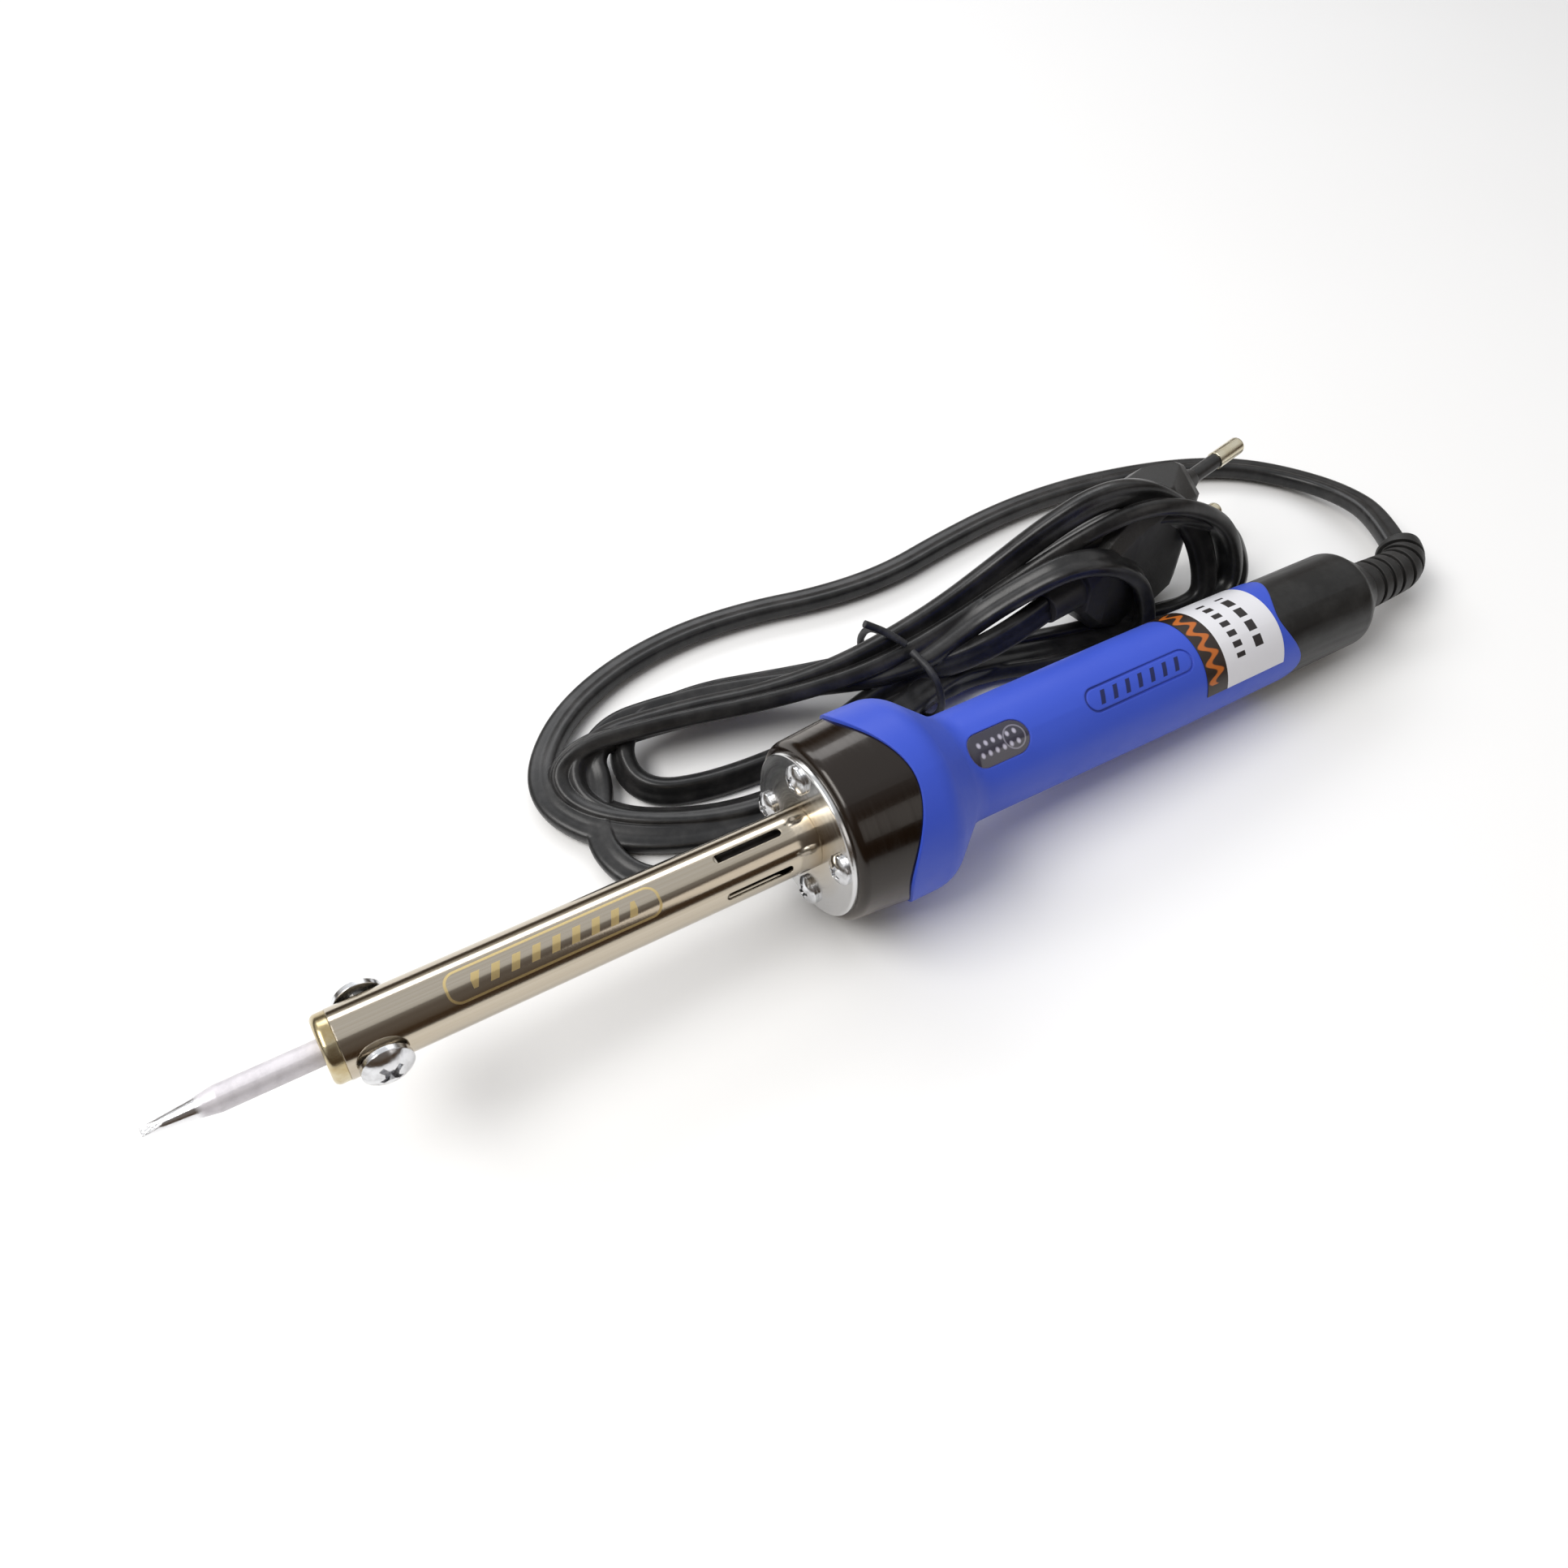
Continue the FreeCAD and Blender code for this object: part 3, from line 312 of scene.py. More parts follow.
sheath, net, skin = new_finish("cord_sheath")
wear = step(net, "Group", tree=edge_wear, Edge_Radius=0.0004, Tooth_Scale=2200.0, Tooth_Height=0.12,
            Scuff_Scale=160.0)
black = blend(net, A=(0.0105, 0.0105, 0.011, 1), B=(0.030, 0.029, 0.029, 1))
gloss = remap(net, 0.24, 0.36)
skin.inputs["Specular IOR Level"].default_value = 0.36
join(net, (wear, "Scuff", black, "Factor"), (black, "Result", skin, "Base Color"),
     (wear, "Cloud", gloss, "Value"), (gloss, 0, skin, "Roughness"), (wear, "Normal", skin, "Normal"))
flex.materials.append(sheath)
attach(mains_cord, "iron")
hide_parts("cord_lead", "cord_hank")
cad["cord_tail"].material_slots[0].material = sheath

# ------------------------------------------------------------------ plug
# The flat two-pin plug is moulded round the cord's end in dark grey vinyl with
# a fine spark-eroded grain. Its edges are rubbed paler, and its scuffs are shinier.
vinyl, net, skin = new_finish("plug_vinyl")
wear = step(net, "Group", tree=edge_wear, Edge_Radius=0.0007, Tooth_Scale=2600.0, Tooth_Height=0.35,
            Scuff_Scale=90.0)
grey = blend(net, A=(0.017, 0.0165, 0.016, 1), B=(0.026, 0.025, 0.024, 1))
rubbed = blend(net, B=(0.052, 0.050, 0.048, 1))
gloss = remap(net, 0.50, 0.38)
join(net, (wear, "Cloud", grey, "Factor"), (grey, "Result", rubbed, "A"), (wear, "Edge", rubbed, "Factor"),
     (rubbed, "Result", skin, "Base Color"), (wear, "Scuff", gloss, "Value"), (gloss, 0, skin, "Roughness"),
     (wear, "Normal", skin, "Normal"))
cad["plug_body"].material_slots[0].material = vinyl

# ------------------------------------------------------------------ plug pins and sleeves
# Turned brass pins, nickel-plated with the brass just showing through, scratched
# lengthwise by sockets. Their roots sit in smooth black nylon sleeves.
pin_plate, net, metal = new_finish("pin_plate")
spot = step(net, "TexCoord")
turned = step(net, "Mapping", Rotation=(0, 0, math.radians(-11)), Scale=(60, 2600, 2600))
scratch = step(net, "TexNoise", Scale=1.0, Detail=3.0)
wear = step(net, "Group", tree=edge_wear, Tooth_Height=0.05)
colour = blend(net, A=(0.80, 0.75, 0.60, 1), B=(0.70, 0.62, 0.44, 1))
gloss = remap(net, 0.16, 0.36, start=0.3, end=0.7)
metal.inputs["Metallic"].default_value = 1.0
join(net, (spot, "Object", turned, "Vector"), (turned, 0, scratch, "Vector"),
     (scratch, "Fac", gloss, "Value"), (gloss, 0, metal, "Roughness"), (wear, "Scuff", colour, "Factor"),
     (colour, "Result", metal, "Base Color"), (wear, "Normal", metal, "Normal"))
cad["plug_pins"].material_slots[0].material = pin_plate
nylon, net, skin = new_finish("sleeve_nylon")
wear = step(net, "Group", tree=edge_wear, Tooth_Height=0.1)
tone = blend(net, A=(0.012, 0.012, 0.012, 1), B=(0.035, 0.034, 0.033, 1))
gloss = remap(net, 0.30, 0.45)
join(net, (wear, "Scuff", tone, "Factor"), (tone, "Result", skin, "Base Color"),
     (wear, "Cloud", gloss, "Value"), (gloss, 0, skin, "Roughness"), (wear, "Normal", skin, "Normal"))
cad["pin_sleeves"].material_slots[0].material = nylon

# ------------------------------------------------------------------ twist tie
# A plastic-covered wire, twisted once round the hank's waist by hand. The cover
# is matte and nearly black, with a finely creased surface.
tie_cover, net, skin = new_finish("tie_cover")
wear = step(net, "Group", tree=edge_wear, Tooth_Scale=1400.0, Tooth_Height=0.6, Scuff_Scale=260.0)
tone = blend(net, A=(0.012, 0.012, 0.014, 1), B=(0.040, 0.041, 0.045, 1))
gloss = remap(net, 0.42, 0.60)
join(net, (wear, "Scuff", tone, "Factor"), (tone, "Result", skin, "Base Color"),
     (wear, "Cloud", gloss, "Value"), (gloss, 0, skin, "Roughness"), (wear, "Normal", skin, "Normal"))
cad["twist_tie"].material_slots[0].material = tie_cover

# ------------------------------------------------------------------ strain relief boot
# Soft black vinyl, moulded with six grooves and bent aside by the cord's pull.
# It is matte, with paler rubbed ridges.
boot_vinyl, net, skin = new_finish("boot_vinyl")
wear = step(net, "Group", tree=edge_wear, Edge_Radius=0.0003, Tooth_Scale=1800.0, Tooth_Height=0.35,
            Scuff_Scale=150.0)
tone = blend(net, A=(0.0085, 0.0082, 0.008, 1), B=(0.022, 0.021, 0.020, 1))
ridge = blend(net, B=(0.048, 0.046, 0.044, 1))
gloss = remap(net, 0.46, 0.62)
join(net, (wear, "Scuff", tone, "Factor"), (tone, "Result", ridge, "A"), (wear, "Edge", ridge, "Factor"),
     (ridge, "Result", skin, "Base Color"), (wear, "Cloud", gloss, "Value"), (gloss, 0, skin, "Roughness"),
     (wear, "Normal", skin, "Normal"))
cad["strain_relief_boot"].material_slots[0].material = boot_vinyl

# ------------------------------------------------------------------ handle core
# The hard black moulding under the grip, which shows as the cap behind it. It is
# satin, with the faint long flow lines of a moulded tube.
core_black, net, skin = new_finish("core_moulding")
where = step(net, "Group", tree=along_iron)
stretched = step(net, "VectorMath", "MULTIPLY", second=(60, 9, 1))
flow = step(net, "TexNoise", Scale=1.0, Detail=4.0)
wear = step(net, "Group", tree=edge_wear, Edge_Radius=0.0006, Tooth_Scale=2400.0, Tooth_Height=0.10)
tone = blend(net, A=(0.0075, 0.0072, 0.007, 1), B=(0.022, 0.0215, 0.021, 1))
gloss = remap(net, 0.30, 0.42, start=0.3, end=0.7)
skin.inputs["Specular IOR Level"].default_value = 0.36
join(net, (where, "Unrolled", stretched, 0), (stretched, 0, flow, "Vector"), (flow, "Fac", gloss, "Value"),
     (gloss, 0, skin, "Roughness"), (wear, "Scuff", tone, "Factor"), (tone, "Result", skin, "Base Color"),
     (wear, "Normal", skin, "Normal"))
cad["handle_core"].material_slots[0].material = core_black

# ------------------------------------------------------------------ grip
# A soft-touch blue sleeve moulded over the core, with a pressed outline, darkened by painted shade in its
# groove, and a row of dark slanted bars on its side. The coating is matte and powdery, with a few
# duller scuffs.
soft_blue, net, skin = new_finish("grip_coating")
where = step(net, "Group", tree=along_iron)
wear = step(net, "Group", tree=edge_wear, Edge_Radius=0.0005, Tooth_Scale=4200.0, Tooth_Height=0.16,
            Scuff_Scale=70.0)
blue = blend(net, A=(0.030, 0.072, 0.52, 1), B=(0.040, 0.092, 0.60, 1))
lifted = blend(net, B=(0.045, 0.090, 0.62, 1))
# painted shade darkens the pressed outline, more where its groove is deeper; a row of slanted bars on the
# unrolled sleeve is dark too
BADGE_MIDDLE = 0.18825
BADGE_REACH = 0.0145
SLEEVE_RADIUS = 11.2
hollow = remap(net, start=0.01105, end=0.01085)
pressed = step(net, "Math", "MULTIPLY")
stretch = step(net, "Math", "COMPARE", second=BADGE_MIDDLE, third=BADGE_REACH)
badge = step(net, "VectorMath", "MULTIPLY_ADD", second=(1000, SLEEVE_RADIUS, 0),
             third=(-1000 * BADGE_MIDDLE, 0, 0))
badge_axes = step(net, "SeparateXYZ")
lean = step(net, "Math", "MULTIPLY_ADD", second=0.4)
pitch = step(net, "Math", "PINGPONG", second=1.6)
bar = remap(net, start=0.62, end=0.48)
bar_tall = step(net, "Math", "COMPARE", second=0.0, third=1.35)
bar_row = step(net, "Math", "COMPARE", second=0.0, third=10.9)
bars_within = step(net, "Math", "MULTIPLY")
bars = step(net, "Math", "MULTIPLY")
groove_shade_and_bars = step(net, "Math", "MAXIMUM")
# this darkens two things: painted shade in the outline's groove, and the dark slanted bars
inked = blend(net, B=(0.007, 0.012, 0.085, 1))
gloss = remap(net, 0.44, 0.56)
skin.inputs["Specular IOR Level"].default_value = 0.35
skin.inputs["Sheen Weight"].default_value = 0.12
skin.inputs["Sheen Roughness"].default_value = 0.5
skin.inputs["Sheen Tint"].default_value = (0.45, 0.55, 1.0, 1)
join(net, (wear, "Cloud", blue, "Factor"), (blue, "Result", lifted, "A"), (wear, "Edge", lifted, "Factor"),
     (where, "Out", hollow, "Value"), (where, "Along", stretch, 0), (hollow, 0, pressed, 0),
     (stretch, 0, pressed, 1), (lifted, "Result", inked, "A"), (where, "Unrolled", badge, 0),
     (badge, 0, badge_axes, 0), (badge_axes, "Y", lean, 0), (badge_axes, "X", lean, 2), (lean, 0, pitch, 0),
     (pitch, 0, bar, "Value"), (badge_axes, "Y", bar_tall, 0), (badge_axes, "X", bar_row, 0),
     (bar_tall, 0, bars_within, 0), (bar_row, 0, bars_within, 1), (bars_within, 0, bars, 0),
     (bar, 0, bars, 1), (pressed, 0, groove_shade_and_bars, 0), (bars, 0, groove_shade_and_bars, 1), (groove_shade_and_bars, 0, inked, "Factor"),
     (inked, "Result", skin, "Base Color"), (wear, "Scuff", gloss, "Value"), (gloss, 0, skin, "Roughness"),
     (wear, "Normal", skin, "Normal"))
cad["grip_sleeve"].material_slots[0].material = soft_blue

# ------------------------------------------------------------------ lamp window
# A clear moulded lens set flush in the grip. It is painted with a dark shade for the lamp space behind it;
# two rows of small beads on its underside are painted as pale highlights where they catch the light, and a
# ring at its rear rim is painted as a fainter highlight.
lens, net, skin = new_finish("lamp_lens")
where = step(net, "Group", tree=along_iron)
# painted highlights: two rows of six beads, and a fainter ring at the rear end
BEAD_PITCH = 0.00165
BEADS_START = 0.1484
BEAD_ROW_PITCH = 2.1
LENS_RADIUS = 11.0
RING_MIDDLE = 157.0
RING_RADIUS = 2.3
rows = step(net, "VectorMath", "MULTIPLY_ADD", second=(1 / BEAD_PITCH, LENS_RADIUS / BEAD_ROW_PITCH, 0),
            third=(-BEADS_START / BEAD_PITCH, 1.0, 0))
cell = step(net, "VectorMath", "FRACTION")
offset = step(net, "VectorMath", "SUBTRACT", second=(0.5, 0.5, 0))
shape = step(net, "VectorMath", "LENGTH")
bead = remap(net, start=0.33, end=0.14)
axes = step(net, "SeparateXYZ")
in_length = step(net, "Math", "COMPARE", second=3.0, third=3.0)
in_width = step(net, "Math", "COMPARE", second=1.0, third=1.0)
both = step(net, "Math", "MULTIPLY")
beads = step(net, "Math", "MULTIPLY")
ring_place = step(net, "VectorMath", "MULTIPLY_ADD", second=(1000, LENS_RADIUS, 0),
                  third=(-RING_MIDDLE, 0, 0))
ring_size = step(net, "VectorMath", "LENGTH")
ring = step(net, "Math", "COMPARE", second=RING_RADIUS, third=0.16)
faint = step(net, "Math", "MULTIPLY", second=0.35)
lit = step(net, "Math", "MAXIMUM")
wear = step(net, "Group", tree=edge_wear, Edge_Radius=0.0004, Tooth_Height=0.04)
# A is painted shade standing for the dark lamp space, B is the painted highlight on the beads and the ring
painted_glint_and_shade = blend(net, A=(0.016, 0.013, 0.032, 1), B=(0.44, 0.42, 0.52, 1))
rim = blend(net, B=(0.22, 0.18, 0.42, 1))
gloss = remap(net, 0.08, 0.22)
skin.inputs["Coat Weight"].default_value = 0.8
skin.inputs["Coat Roughness"].default_value = 0.06
join(net, (where, "Unrolled", rows, 0), (rows, 0, cell, 0), (cell, 0, offset, 0), (offset, 0, shape, 0),
     (shape, "Value", bead, "Value"), (rows, 0, axes, 0), (axes, "X", in_length, 0),
     (axes, "Y", in_width, 0), (in_length, 0, both, 0), (in_width, 0, both, 1), (both, 0, beads, 0),
     (bead, 0, beads, 1), (where, "Unrolled", ring_place, 0), (ring_place, 0, ring_size, 0),
     (ring_size, "Value", ring, 0), (beads, 0, lit, 0), (ring, 0, faint, 0), (faint, 0, lit, 1),
     (lit, 0, painted_glint_and_shade, "Factor"), (painted_glint_and_shade, "Result", rim, "A"), (wear, "Edge", rim, "Factor"),
     (rim, "Result", skin, "Base Color"), (wear, "Scuff", gloss, "Value"), (gloss, 0, skin, "Roughness"),
     (wear, "Normal", skin, "Normal"))
cad["lamp_window"].material_slots[0].material = lens

# ------------------------------------------------------------------ rating label
# A printed foil sticker round the grip: a dark brown band with an orange wave,
# then white with two rows of plain bars. Nothing on it can be read.
foil, net, skin = new_finish("label_print")
where = step(net, "Group", tree=along_iron)
# the dark band with its orange wave
BAND_END = 0.2094
WAVE_MIDDLE = 0.2064
WAVE_HEIGHT = 0.0013
WAVE_COUNT = 19.0
band = step(net, "Math", "LESS_THAN", second=BAND_END)
wave_turns = step(net, "Math", "MULTIPLY", second=WAVE_COUNT)
wave = step(net, "Math", "SINE")
swing = step(net, "Math", "MULTIPLY_ADD", second=WAVE_HEIGHT, third=WAVE_MIDDLE)
away = step(net, "Math", "SUBTRACT")
width = step(net, "Math", "ABSOLUTE")
ribbon = remap(net, start=0.00110, end=0.00070)
ends = step(net, "Math", "COMPARE", second=-0.28, third=0.92)
ribbon_here = step(net, "Math", "MULTIPLY")
# the plain bars on the white part
PRINT_START = 0.2112
PRINT_MIDDLE = 0.2166
ROWS_PITCH = 0.0027
LABEL_RADIUS = 0.0112
bars = step(net, "TexBrick", Color1=(0, 0, 0, 1), Color2=(0, 0, 0, 1), Mortar=(1, 1, 1, 1), Scale=1.0,
            Mortar_Size=0.0006, Mortar_Smooth=0.15, Brick_Width=0.0034, Row_Height=2 * ROWS_PITCH)
bars.offset = 0.37
bars.squash = 0.7
bars.squash_frequency = 2
flat = step(net, "VectorMath", "MULTIPLY_ADD", second=(1, LABEL_RADIUS, 0), third=(-PRINT_START, 0.03, 0))
swap = step(net, "SeparateXYZ")
swapped = step(net, "CombineXYZ")
printed = step(net, "Math", "COMPARE", second=-0.30, third=0.66)
row_middle = step(net, "Math", "SUBTRACT", second=PRINT_START + ROWS_PITCH)
row_pitch = step(net, "Math", "PINGPONG", second=ROWS_PITCH)
row_tall = step(net, "Math", "LESS_THAN", second=0.00115)
two_rows = step(net, "Math", "COMPARE", second=PRINT_MIDDLE, third=0.0046)
rows_here = step(net, "Math", "MULTIPLY")
ink_area = step(net, "Math", "MULTIPLY")
ink_gap = step(net, "Math", "SUBTRACT", first=1.0)
ink = step(net, "Math", "MULTIPLY")
wear = step(net, "Group", tree=edge_wear, Edge_Radius=0.0001, Tooth_Scale=1500.0, Tooth_Height=0.06)
white = blend(net, A=(0.80, 0.80, 0.83, 1), B=(0.72, 0.72, 0.77, 1))
inked = blend(net, B=(0.018, 0.014, 0.015, 1))
brown = blend(net, A=(0.022, 0.012, 0.008, 1), B=(0.50, 0.13, 0.015, 1))
whole = blend(net)
gloss = remap(net, 0.30, 0.42)
join(net, (where, "Along", band, 0), (where, "Round", wave_turns, 0), (wave_turns, 0, wave, 0),
     (wave, 0, swing, 0), (where, "Along", away, 0), (swing, 0, away, 1), (away, 0, width, 0),
     (width, 0, ribbon, "Value"), (where, "Round", ends, 0), (ribbon, 0, ribbon_here, 0),
     (ends, 0, ribbon_here, 1), (where, "Unrolled", flat, 0), (flat, 0, swap, 0), (swap, "Y", swapped, "X"),
     (swap, "X", swapped, "Y"), (swapped, 0, bars, "Vector"), (where, "Round", printed, 0),
     (where, "Along", row_middle, 0), (row_middle, 0, row_pitch, 0), (row_pitch, 0, row_tall, 0),
     (where, "Along", two_rows, 0), (row_tall, 0, rows_here, 0), (two_rows, 0, rows_here, 1),
     (printed, 0, ink_area, 0), (rows_here, 0, ink_area, 1), (bars, "Fac", ink_gap, 1),
     (ink_gap, 0, ink, 0), (ink_area, 0, ink, 1), (wear, "Cloud", white, "Factor"),
     (white, "Result", inked, "A"), (ink, 0, inked, "Factor"), (ribbon_here, 0, brown, "Factor"),
     (inked, "Result", whole, "A"), (brown, "Result", whole, "B"), (band, 0, whole, "Factor"),
     (whole, "Result", skin, "Base Color"), (wear, "Scuff", gloss, "Value"), (gloss, 0, skin, "Roughness"),
     (wear, "Normal", skin, "Normal"))
cad["rating_label"].material_slots[0].material = foil

# ------------------------------------------------------------------ front collar
# Glossy heat-proof moulding between the flange and the grip, dark enough to look
# black but brown where light strikes it, with very fine turning lines.
phenolic, net, skin = new_finish("collar_moulding")
where = step(net, "Group", tree=along_iron)
stretched = step(net, "VectorMath", "MULTIPLY", second=(1500, 1.2, 1))
lines = step(net, "TexNoise", Scale=1.0, Detail=2.0)
wear = step(net, "Group", tree=edge_wear, Edge_Radius=0.0006, Tooth_Height=0.03)
tone = blend(net, A=(0.0045, 0.0030, 0.0022, 1), B=(0.0120, 0.0065, 0.0036, 1))
gloss = remap(net, 0.11, 0.24, start=0.3, end=0.7)
skin.inputs["Specular IOR Level"].default_value = 0.36
skin.inputs["Coat Weight"].default_value = 0.22
skin.inputs["Coat Roughness"].default_value = 0.06
skin.inputs["Coat Tint"].default_value = (1.0, 0.80, 0.58, 1)
join(net, (where, "Unrolled", stretched, 0), (stretched, 0, lines, "Vector"),
     (lines, "Fac", gloss, "Value"), (gloss, 0, skin, "Roughness"), (wear, "Cloud", tone, "Factor"),
     (tone, "Result", skin, "Base Color"), (wear, "Normal", skin, "Normal"))
cad["front_collar"].material_slots[0].material = phenolic

# ------------------------------------------------------------------ flange
# Pressed steel disc that carries the heater, polished on its face in circles, with
# a warm haze near the barrel where it gets hot.
flange_steel, net, metal = new_finish("flange_polish")
where = step(net, "Group", tree=along_iron)
rings = step(net, "CombineXYZ")
ring_scale = step(net, "VectorMath", "MULTIPLY", second=(2600, 0.8, 200))
lines = step(net, "TexNoise", Scale=1.0, Detail=2.0)
wear = step(net, "Group", tree=edge_wear, Edge_Radius=0.0004, Tooth_Height=0.03)
hot = remap(net, start=0.0125, end=0.0062)
tone = blend(net, A=(0.66, 0.66, 0.66, 1), B=(0.52, 0.46, 0.37, 1))
gloss = remap(net, 0.12, 0.27, start=0.3, end=0.7)
metal.inputs["Metallic"].default_value = 1.0
join(net, (where, "Out", rings, "X"), (where, "Round", rings, "Y"), (where, "Along", rings, "Z"),
     (rings, 0, ring_scale, 0), (ring_scale, 0, lines, "Vector"), (lines, "Fac", gloss, "Value"),
     (gloss, 0, metal, "Roughness"), (where, "Out", hot, "Value"), (hot, 0, tone, "Factor"),
     (tone, "Result", metal, "Base Color"), (wear, "Normal", metal, "Normal"))
cad["heater_flange"].material_slots[0].material = flange_steel

# ------------------------------------------------------------------ screws
# Two clamp screws near the tip and four flange screws, steel with bright zinc
# plate. The plate is dulled in patches, and the rims are worn brighter.
zinc, net, metal = new_finish("zinc_plate")
wear = step(net, "Group", tree=edge_wear, Edge_Radius=0.00025, Tooth_Scale=900.0, Tooth_Height=0.18,
            Scuff_Scale=420.0)
tone = blend(net, A=(0.74, 0.75, 0.77, 1), B=(0.50, 0.50, 0.51, 1))
bright = blend(net, B=(0.86, 0.86, 0.87, 1))
gloss = remap(net, 0.14, 0.34)
metal.inputs["Metallic"].default_value = 1.0
join(net, (wear, "Scuff", tone, "Factor"), (tone, "Result", bright, "A"), (wear, "Edge", bright, "Factor"),
     (bright, "Result", metal, "Base Color"), (wear, "Scuff", gloss, "Value"),
     (gloss, 0, metal, "Roughness"), (wear, "Normal", metal, "Normal"))
for screw in ("clamp_screw_lower", "clamp_screw_upper", "flange_screws"):
    cad[screw].material_slots[0].material = zinc

# ------------------------------------------------------------------ barrel
# Thin steel tube, nickel-plated and polished to a warm mirror, with long drawing
# lines. A plain rounded frame with a row of slanted bars is etched on it in gold.
nickel, net, metal = new_finish("barrel_nickel")
where = step(net, "Group", tree=along_iron)
drawn = step(net, "VectorMath", "MULTIPLY", second=(14, 16, 1))
lines = step(net, "TexNoise", Scale=1.0, Detail=6.0, Roughness=0.7)
wear = step(net, "Group", tree=edge_wear, Edge_Radius=0.0003, Tooth_Height=0.025, Scuff_Scale=300.0)
haze = blend(net, A=(0.60, 0.55, 0.47, 1), B=(0.44, 0.37, 0.27, 1))
# the etched frame, in millimetres on the unrolled tube: a rounded outline, then slanted bars
TUBE_RADIUS = 6.0
PANEL_MIDDLE = 65.2
PANEL_LONG = 16.6
PANEL_WIDE = 0.6
PANEL_CORNER = 2.0
sheet = step(net, "VectorMath", "MULTIPLY_ADD", second=(1000, TUBE_RADIUS, 0), third=(-PANEL_MIDDLE, 0, 0))
size = step(net, "VectorMath", "ABSOLUTE")
inner = step(net, "VectorMath", "SUBTRACT", second=(PANEL_LONG, PANEL_WIDE, 0))
kept = step(net, "VectorMath", "MAXIMUM", second=(0, 0, 0))
reach = step(net, "VectorMath", "LENGTH")
from_line = step(net, "Math", "SUBTRACT", second=PANEL_CORNER)
off_line = step(net, "Math", "ABSOLUTE")
outline_ink = remap(net, start=0.30, end=0.16)
place = step(net, "SeparateXYZ")
slant = step(net, "Math", "MULTIPLY_ADD", second=0.45)
pitch = step(net, "Math", "PINGPONG", second=1.75)
bar = step(net, "Math", "LESS_THAN", second=0.72)
tall = step(net, "Math", "COMPARE", second=0.0, third=1.25)
lengthwise = step(net, "Math", "COMPARE", second=0.0, third=14.6)
bar_tall = step(net, "Math", "MULTIPLY")
bar_ink = step(net, "Math", "MULTIPLY")
ink = step(net, "Math", "MAXIMUM")
gold = blend(net, B=(0.72, 0.56, 0.27, 1))
gloss = remap(net, 0.08, 0.15, start=0.3, end=0.7)
etched = step(net, "Mix", B=0.34)
metal.inputs["Metallic"].default_value = 1.0
join(net, (where, "Unrolled", drawn, 0), (drawn, 0, lines, "Vector"), (lines, "Fac", haze, "Factor"),
     (where, "Unrolled", sheet, 0), (sheet, 0, size, 0), (size, 0, inner, 0), (inner, 0, kept, 0),
     (kept, 0, reach, 0), (reach, "Value", from_line, 0), (from_line, 0, off_line, 0),
     (off_line, 0, outline_ink, "Value"), (sheet, 0, place, 0), (place, "Y", slant, 0),
     (place, "X", slant, 2), (slant, 0, pitch, 0), (pitch, 0, bar, 0), (place, "Y", tall, 0),
     (place, "X", lengthwise, 0), (bar, 0, bar_tall, 0), (tall, 0, bar_tall, 1), (bar_tall, 0, bar_ink, 0),
     (lengthwise, 0, bar_ink, 1), (outline_ink, 0, ink, 0), (bar_ink, 0, ink, 1),
     (haze, "Result", gold, "A"), (ink, 0, gold, "Factor"), (gold, "Result", metal, "Base Color"),
     (lines, "Fac", gloss, "Value"), (gloss, 0, etched, "A"), (ink, 0, etched, "Factor"),
     (etched, 0, metal, "Roughness"), (wear, "Normal", metal, "Normal"))
cad["barrel_tube"].material_slots[0].material = nickel

# ------------------------------------------------------------------ nose bush
# Brass bush rolled over the barrel's mouth, flashed with nickel that has worn back
# to brass in patches.
bush_brass, net, metal = new_finish("bush_brass")
wear = step(net, "Group", tree=edge_wear, Edge_Radius=0.0004, Tooth_Height=0.06, Scuff_Scale=240.0)
tone = blend(net, A=(0.60, 0.53, 0.36, 1), B=(0.46, 0.36, 0.19, 1))
gloss = remap(net, 0.14, 0.30)
metal.inputs["Metallic"].default_value = 1.0
join(net, (wear, "Scuff", tone, "Factor"), (tone, "Result", metal, "Base Color"),
     (wear, "Cloud", gloss, "Value"), (gloss, 0, metal, "Roughness"), (wear, "Normal", metal, "Normal"))
cad["nose_bush"].material_slots[0].material = bush_brass

# ------------------------------------------------------------------ tip
# Copper rod plated with iron and a pale satin flash; the cone is ground and wetted
# with bright solder, with a soft ragged edge where the solder stops.
plating, net, metal = new_finish("tip_plating")
where = step(net, "Group", tree=along_iron)
wear = step(net, "Group", tree=edge_wear, Edge_Radius=0.0003, Tooth_Scale=2500.0, Tooth_Height=0.22,
            Scuff_Scale=500.0)
ragged = step(net, "Math", "MULTIPLY_ADD", second=0.0022)
SOLDER_END = 0.0101
SOLDER_FULL = 0.0090
wetted = remap(net, start=SOLDER_END, end=SOLDER_FULL)
satin = blend(net, A=(0.68, 0.655, 0.69, 1), B=(0.58, 0.555, 0.59, 1))
solder = blend(net, B=(0.80, 0.80, 0.82, 1))
gloss = remap(net, 0.50, 0.16)
shine = remap(net, 0.35, 1.0)
join(net, (wear, "Cloud", ragged, 0), (where, "Along", ragged, 2), (ragged, 0, wetted, "Value"),
     (wear, "Scuff", satin, "Factor"), (satin, "Result", solder, "A"), (wetted, 0, solder, "Factor"),
     (solder, "Result", metal, "Base Color"), (wetted, 0, gloss, "Value"), (gloss, 0, metal, "Roughness"),
     (wetted, 0, shine, "Value"), (shine, 0, metal, "Metallic"), (wear, "Normal", metal, "Normal"))
cad["tip"].material_slots[0].material = plating

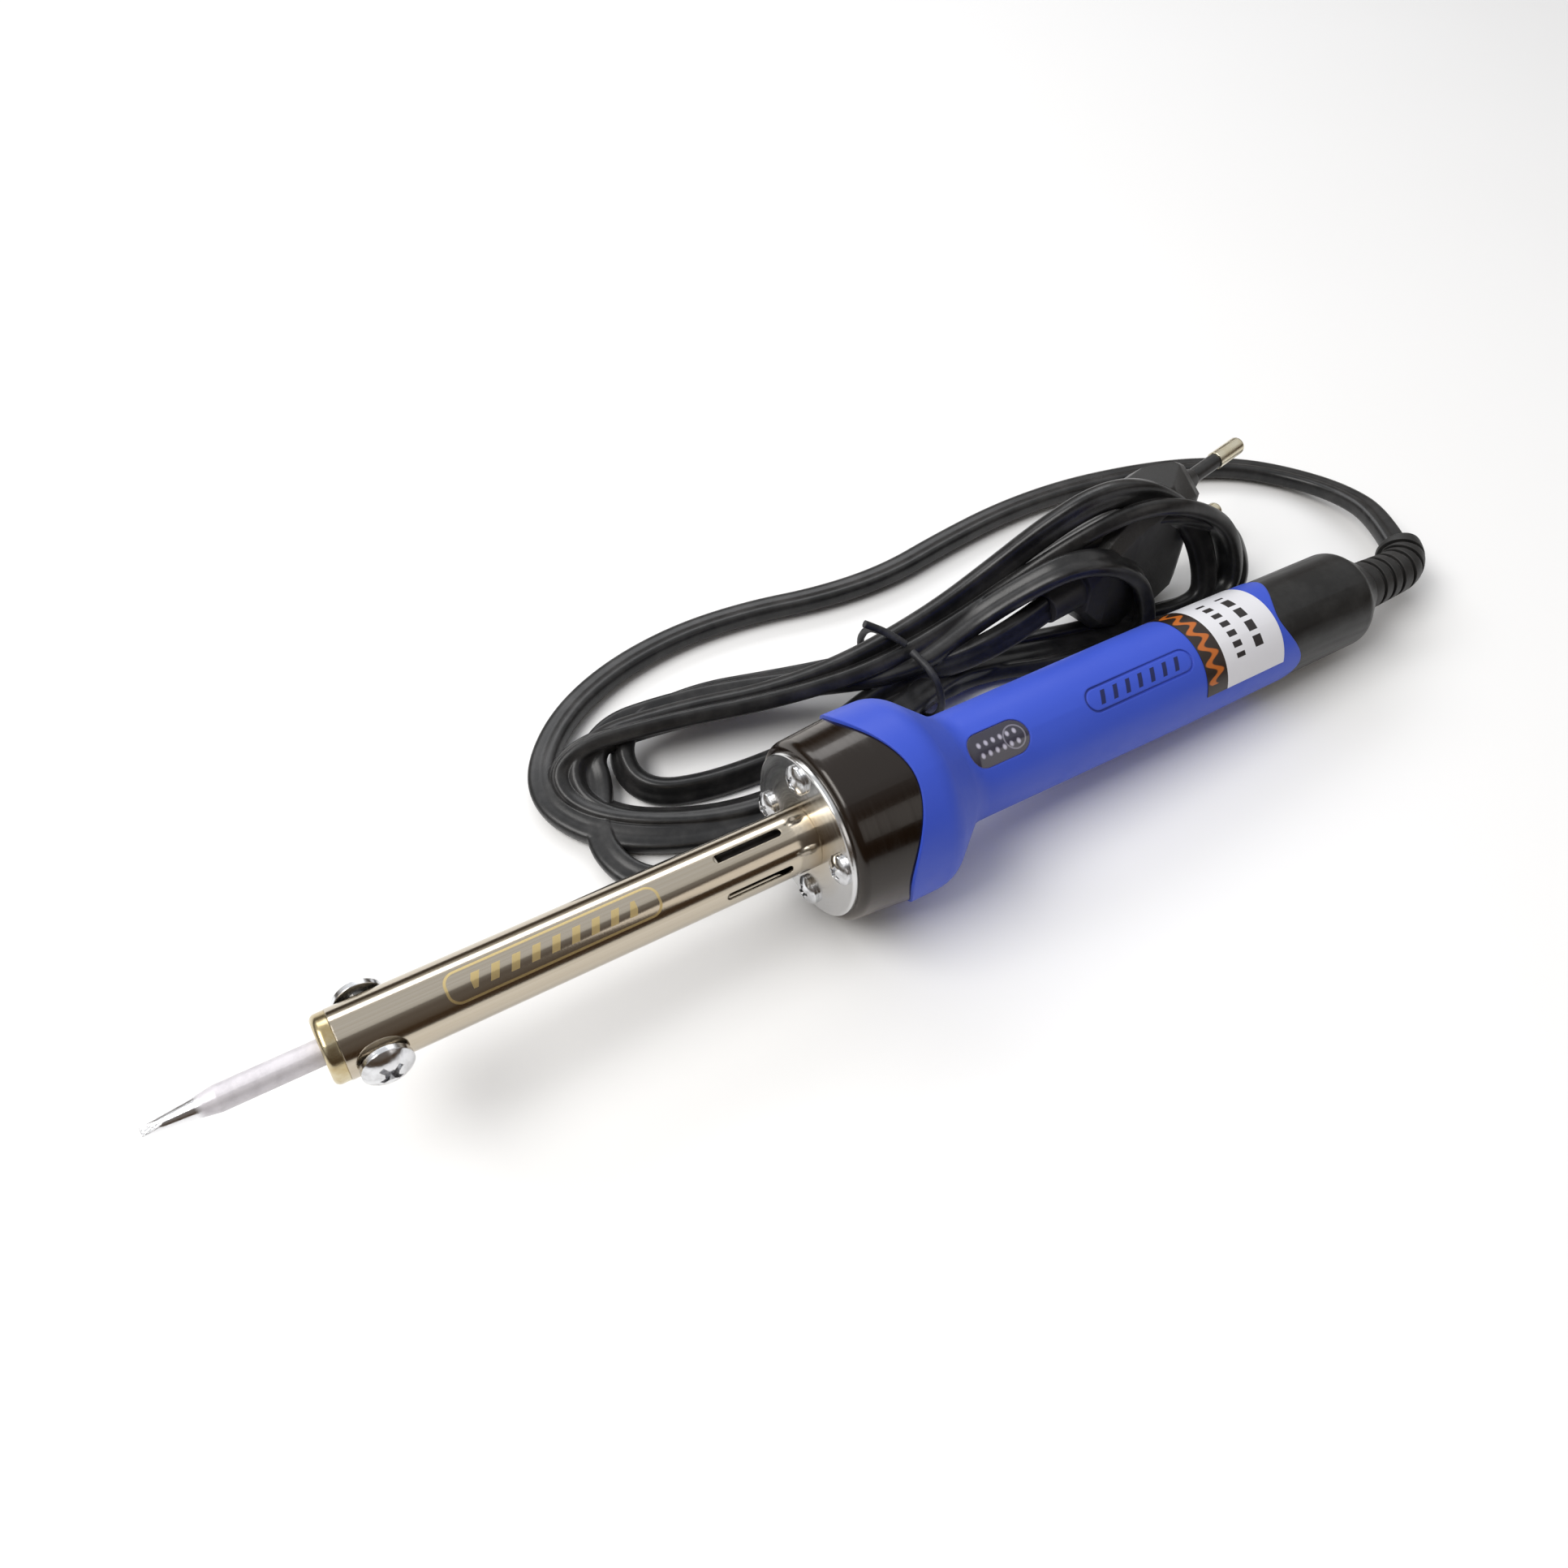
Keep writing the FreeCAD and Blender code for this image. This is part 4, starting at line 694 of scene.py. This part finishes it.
# ------------------------------------------------------------------ heater, wires and lamp inside
# The pieces that only show through the slots or with the barrel off: fired ceramic,
# dull resistance wire, mica, tinned crimps, insulated wires, cord stop, resistor and
# lamp. Each has its own two tones, sheen and tooth.
for name, pieces, tone_a, tone_b, is_metal, sheen, tooth in (
    ("fired_ceramic", ("heater_bobbin",), (0.62, 0.58, 0.49), (0.42, 0.37, 0.29), 0.0, (0.55, 0.75), 0.30),
    ("sooty_ceramic", ("ceramic_bead",), (0.050, 0.043, 0.040), (0.025, 0.021, 0.020),
     0.0, (0.55, 0.75), 0.30),
    ("oxidised_wire", ("heater_winding",), (0.22, 0.20, 0.18), (0.10, 0.085, 0.07),
     0.9, (0.35, 0.60), 0.40),
    ("mica_wrap", ("mica_sleeve",), (0.50, 0.43, 0.31), (0.32, 0.26, 0.17), 0.0, (0.18, 0.40), 0.50),
    ("dull_lead_wire", ("heater_wire_live", "heater_wire_neutral"), (0.46, 0.44, 0.41), (0.30, 0.28, 0.25),
     1.0, (0.28, 0.48), 0.20),
    ("tinned_crimp", ("crimp_live", "crimp_neutral"), (0.62, 0.62, 0.61), (0.45, 0.45, 0.44),
     1.0, (0.20, 0.40), 0.25),
    ("brown_insulation", ("cord_wire_live",), (0.16, 0.065, 0.025), (0.10, 0.040, 0.015),
     0.0, (0.35, 0.50), 0.12),
    ("blue_insulation", ("cord_wire_neutral",), (0.02, 0.08, 0.36), (0.012, 0.05, 0.25),
     0.0, (0.35, 0.50), 0.12),
    ("natural_nylon", ("cord_stop",), (0.72, 0.72, 0.66), (0.60, 0.59, 0.52), 0.0, (0.32, 0.48), 0.15),
    ("resistor_lacquer", ("lamp_resistor",), (0.48, 0.36, 0.20), (0.36, 0.26, 0.14),
     0.0, (0.30, 0.50), 0.20),
    ("lamp_glass", ("neon_lamp",), (0.55, 0.36, 0.28), (0.40, 0.24, 0.18), 0.0, (0.05, 0.15), 0.03),
):
    finish, net, skin = new_finish(name)
    wear = step(net, "Group", tree=edge_wear, Tooth_Height=tooth, Scuff_Scale=220.0)
    tone = blend(net, A=(*tone_a, 1), B=(*tone_b, 1))
    gloss = remap(net, *sheen)
    skin.inputs["Metallic"].default_value = is_metal
    join(net, (wear, "Scuff", tone, "Factor"), (tone, "Result", skin, "Base Color"),
         (wear, "Cloud", gloss, "Value"), (gloss, 0, skin, "Roughness"), (wear, "Normal", skin, "Normal"))
    for piece in pieces:
        cad[piece].material_slots[0].material = finish
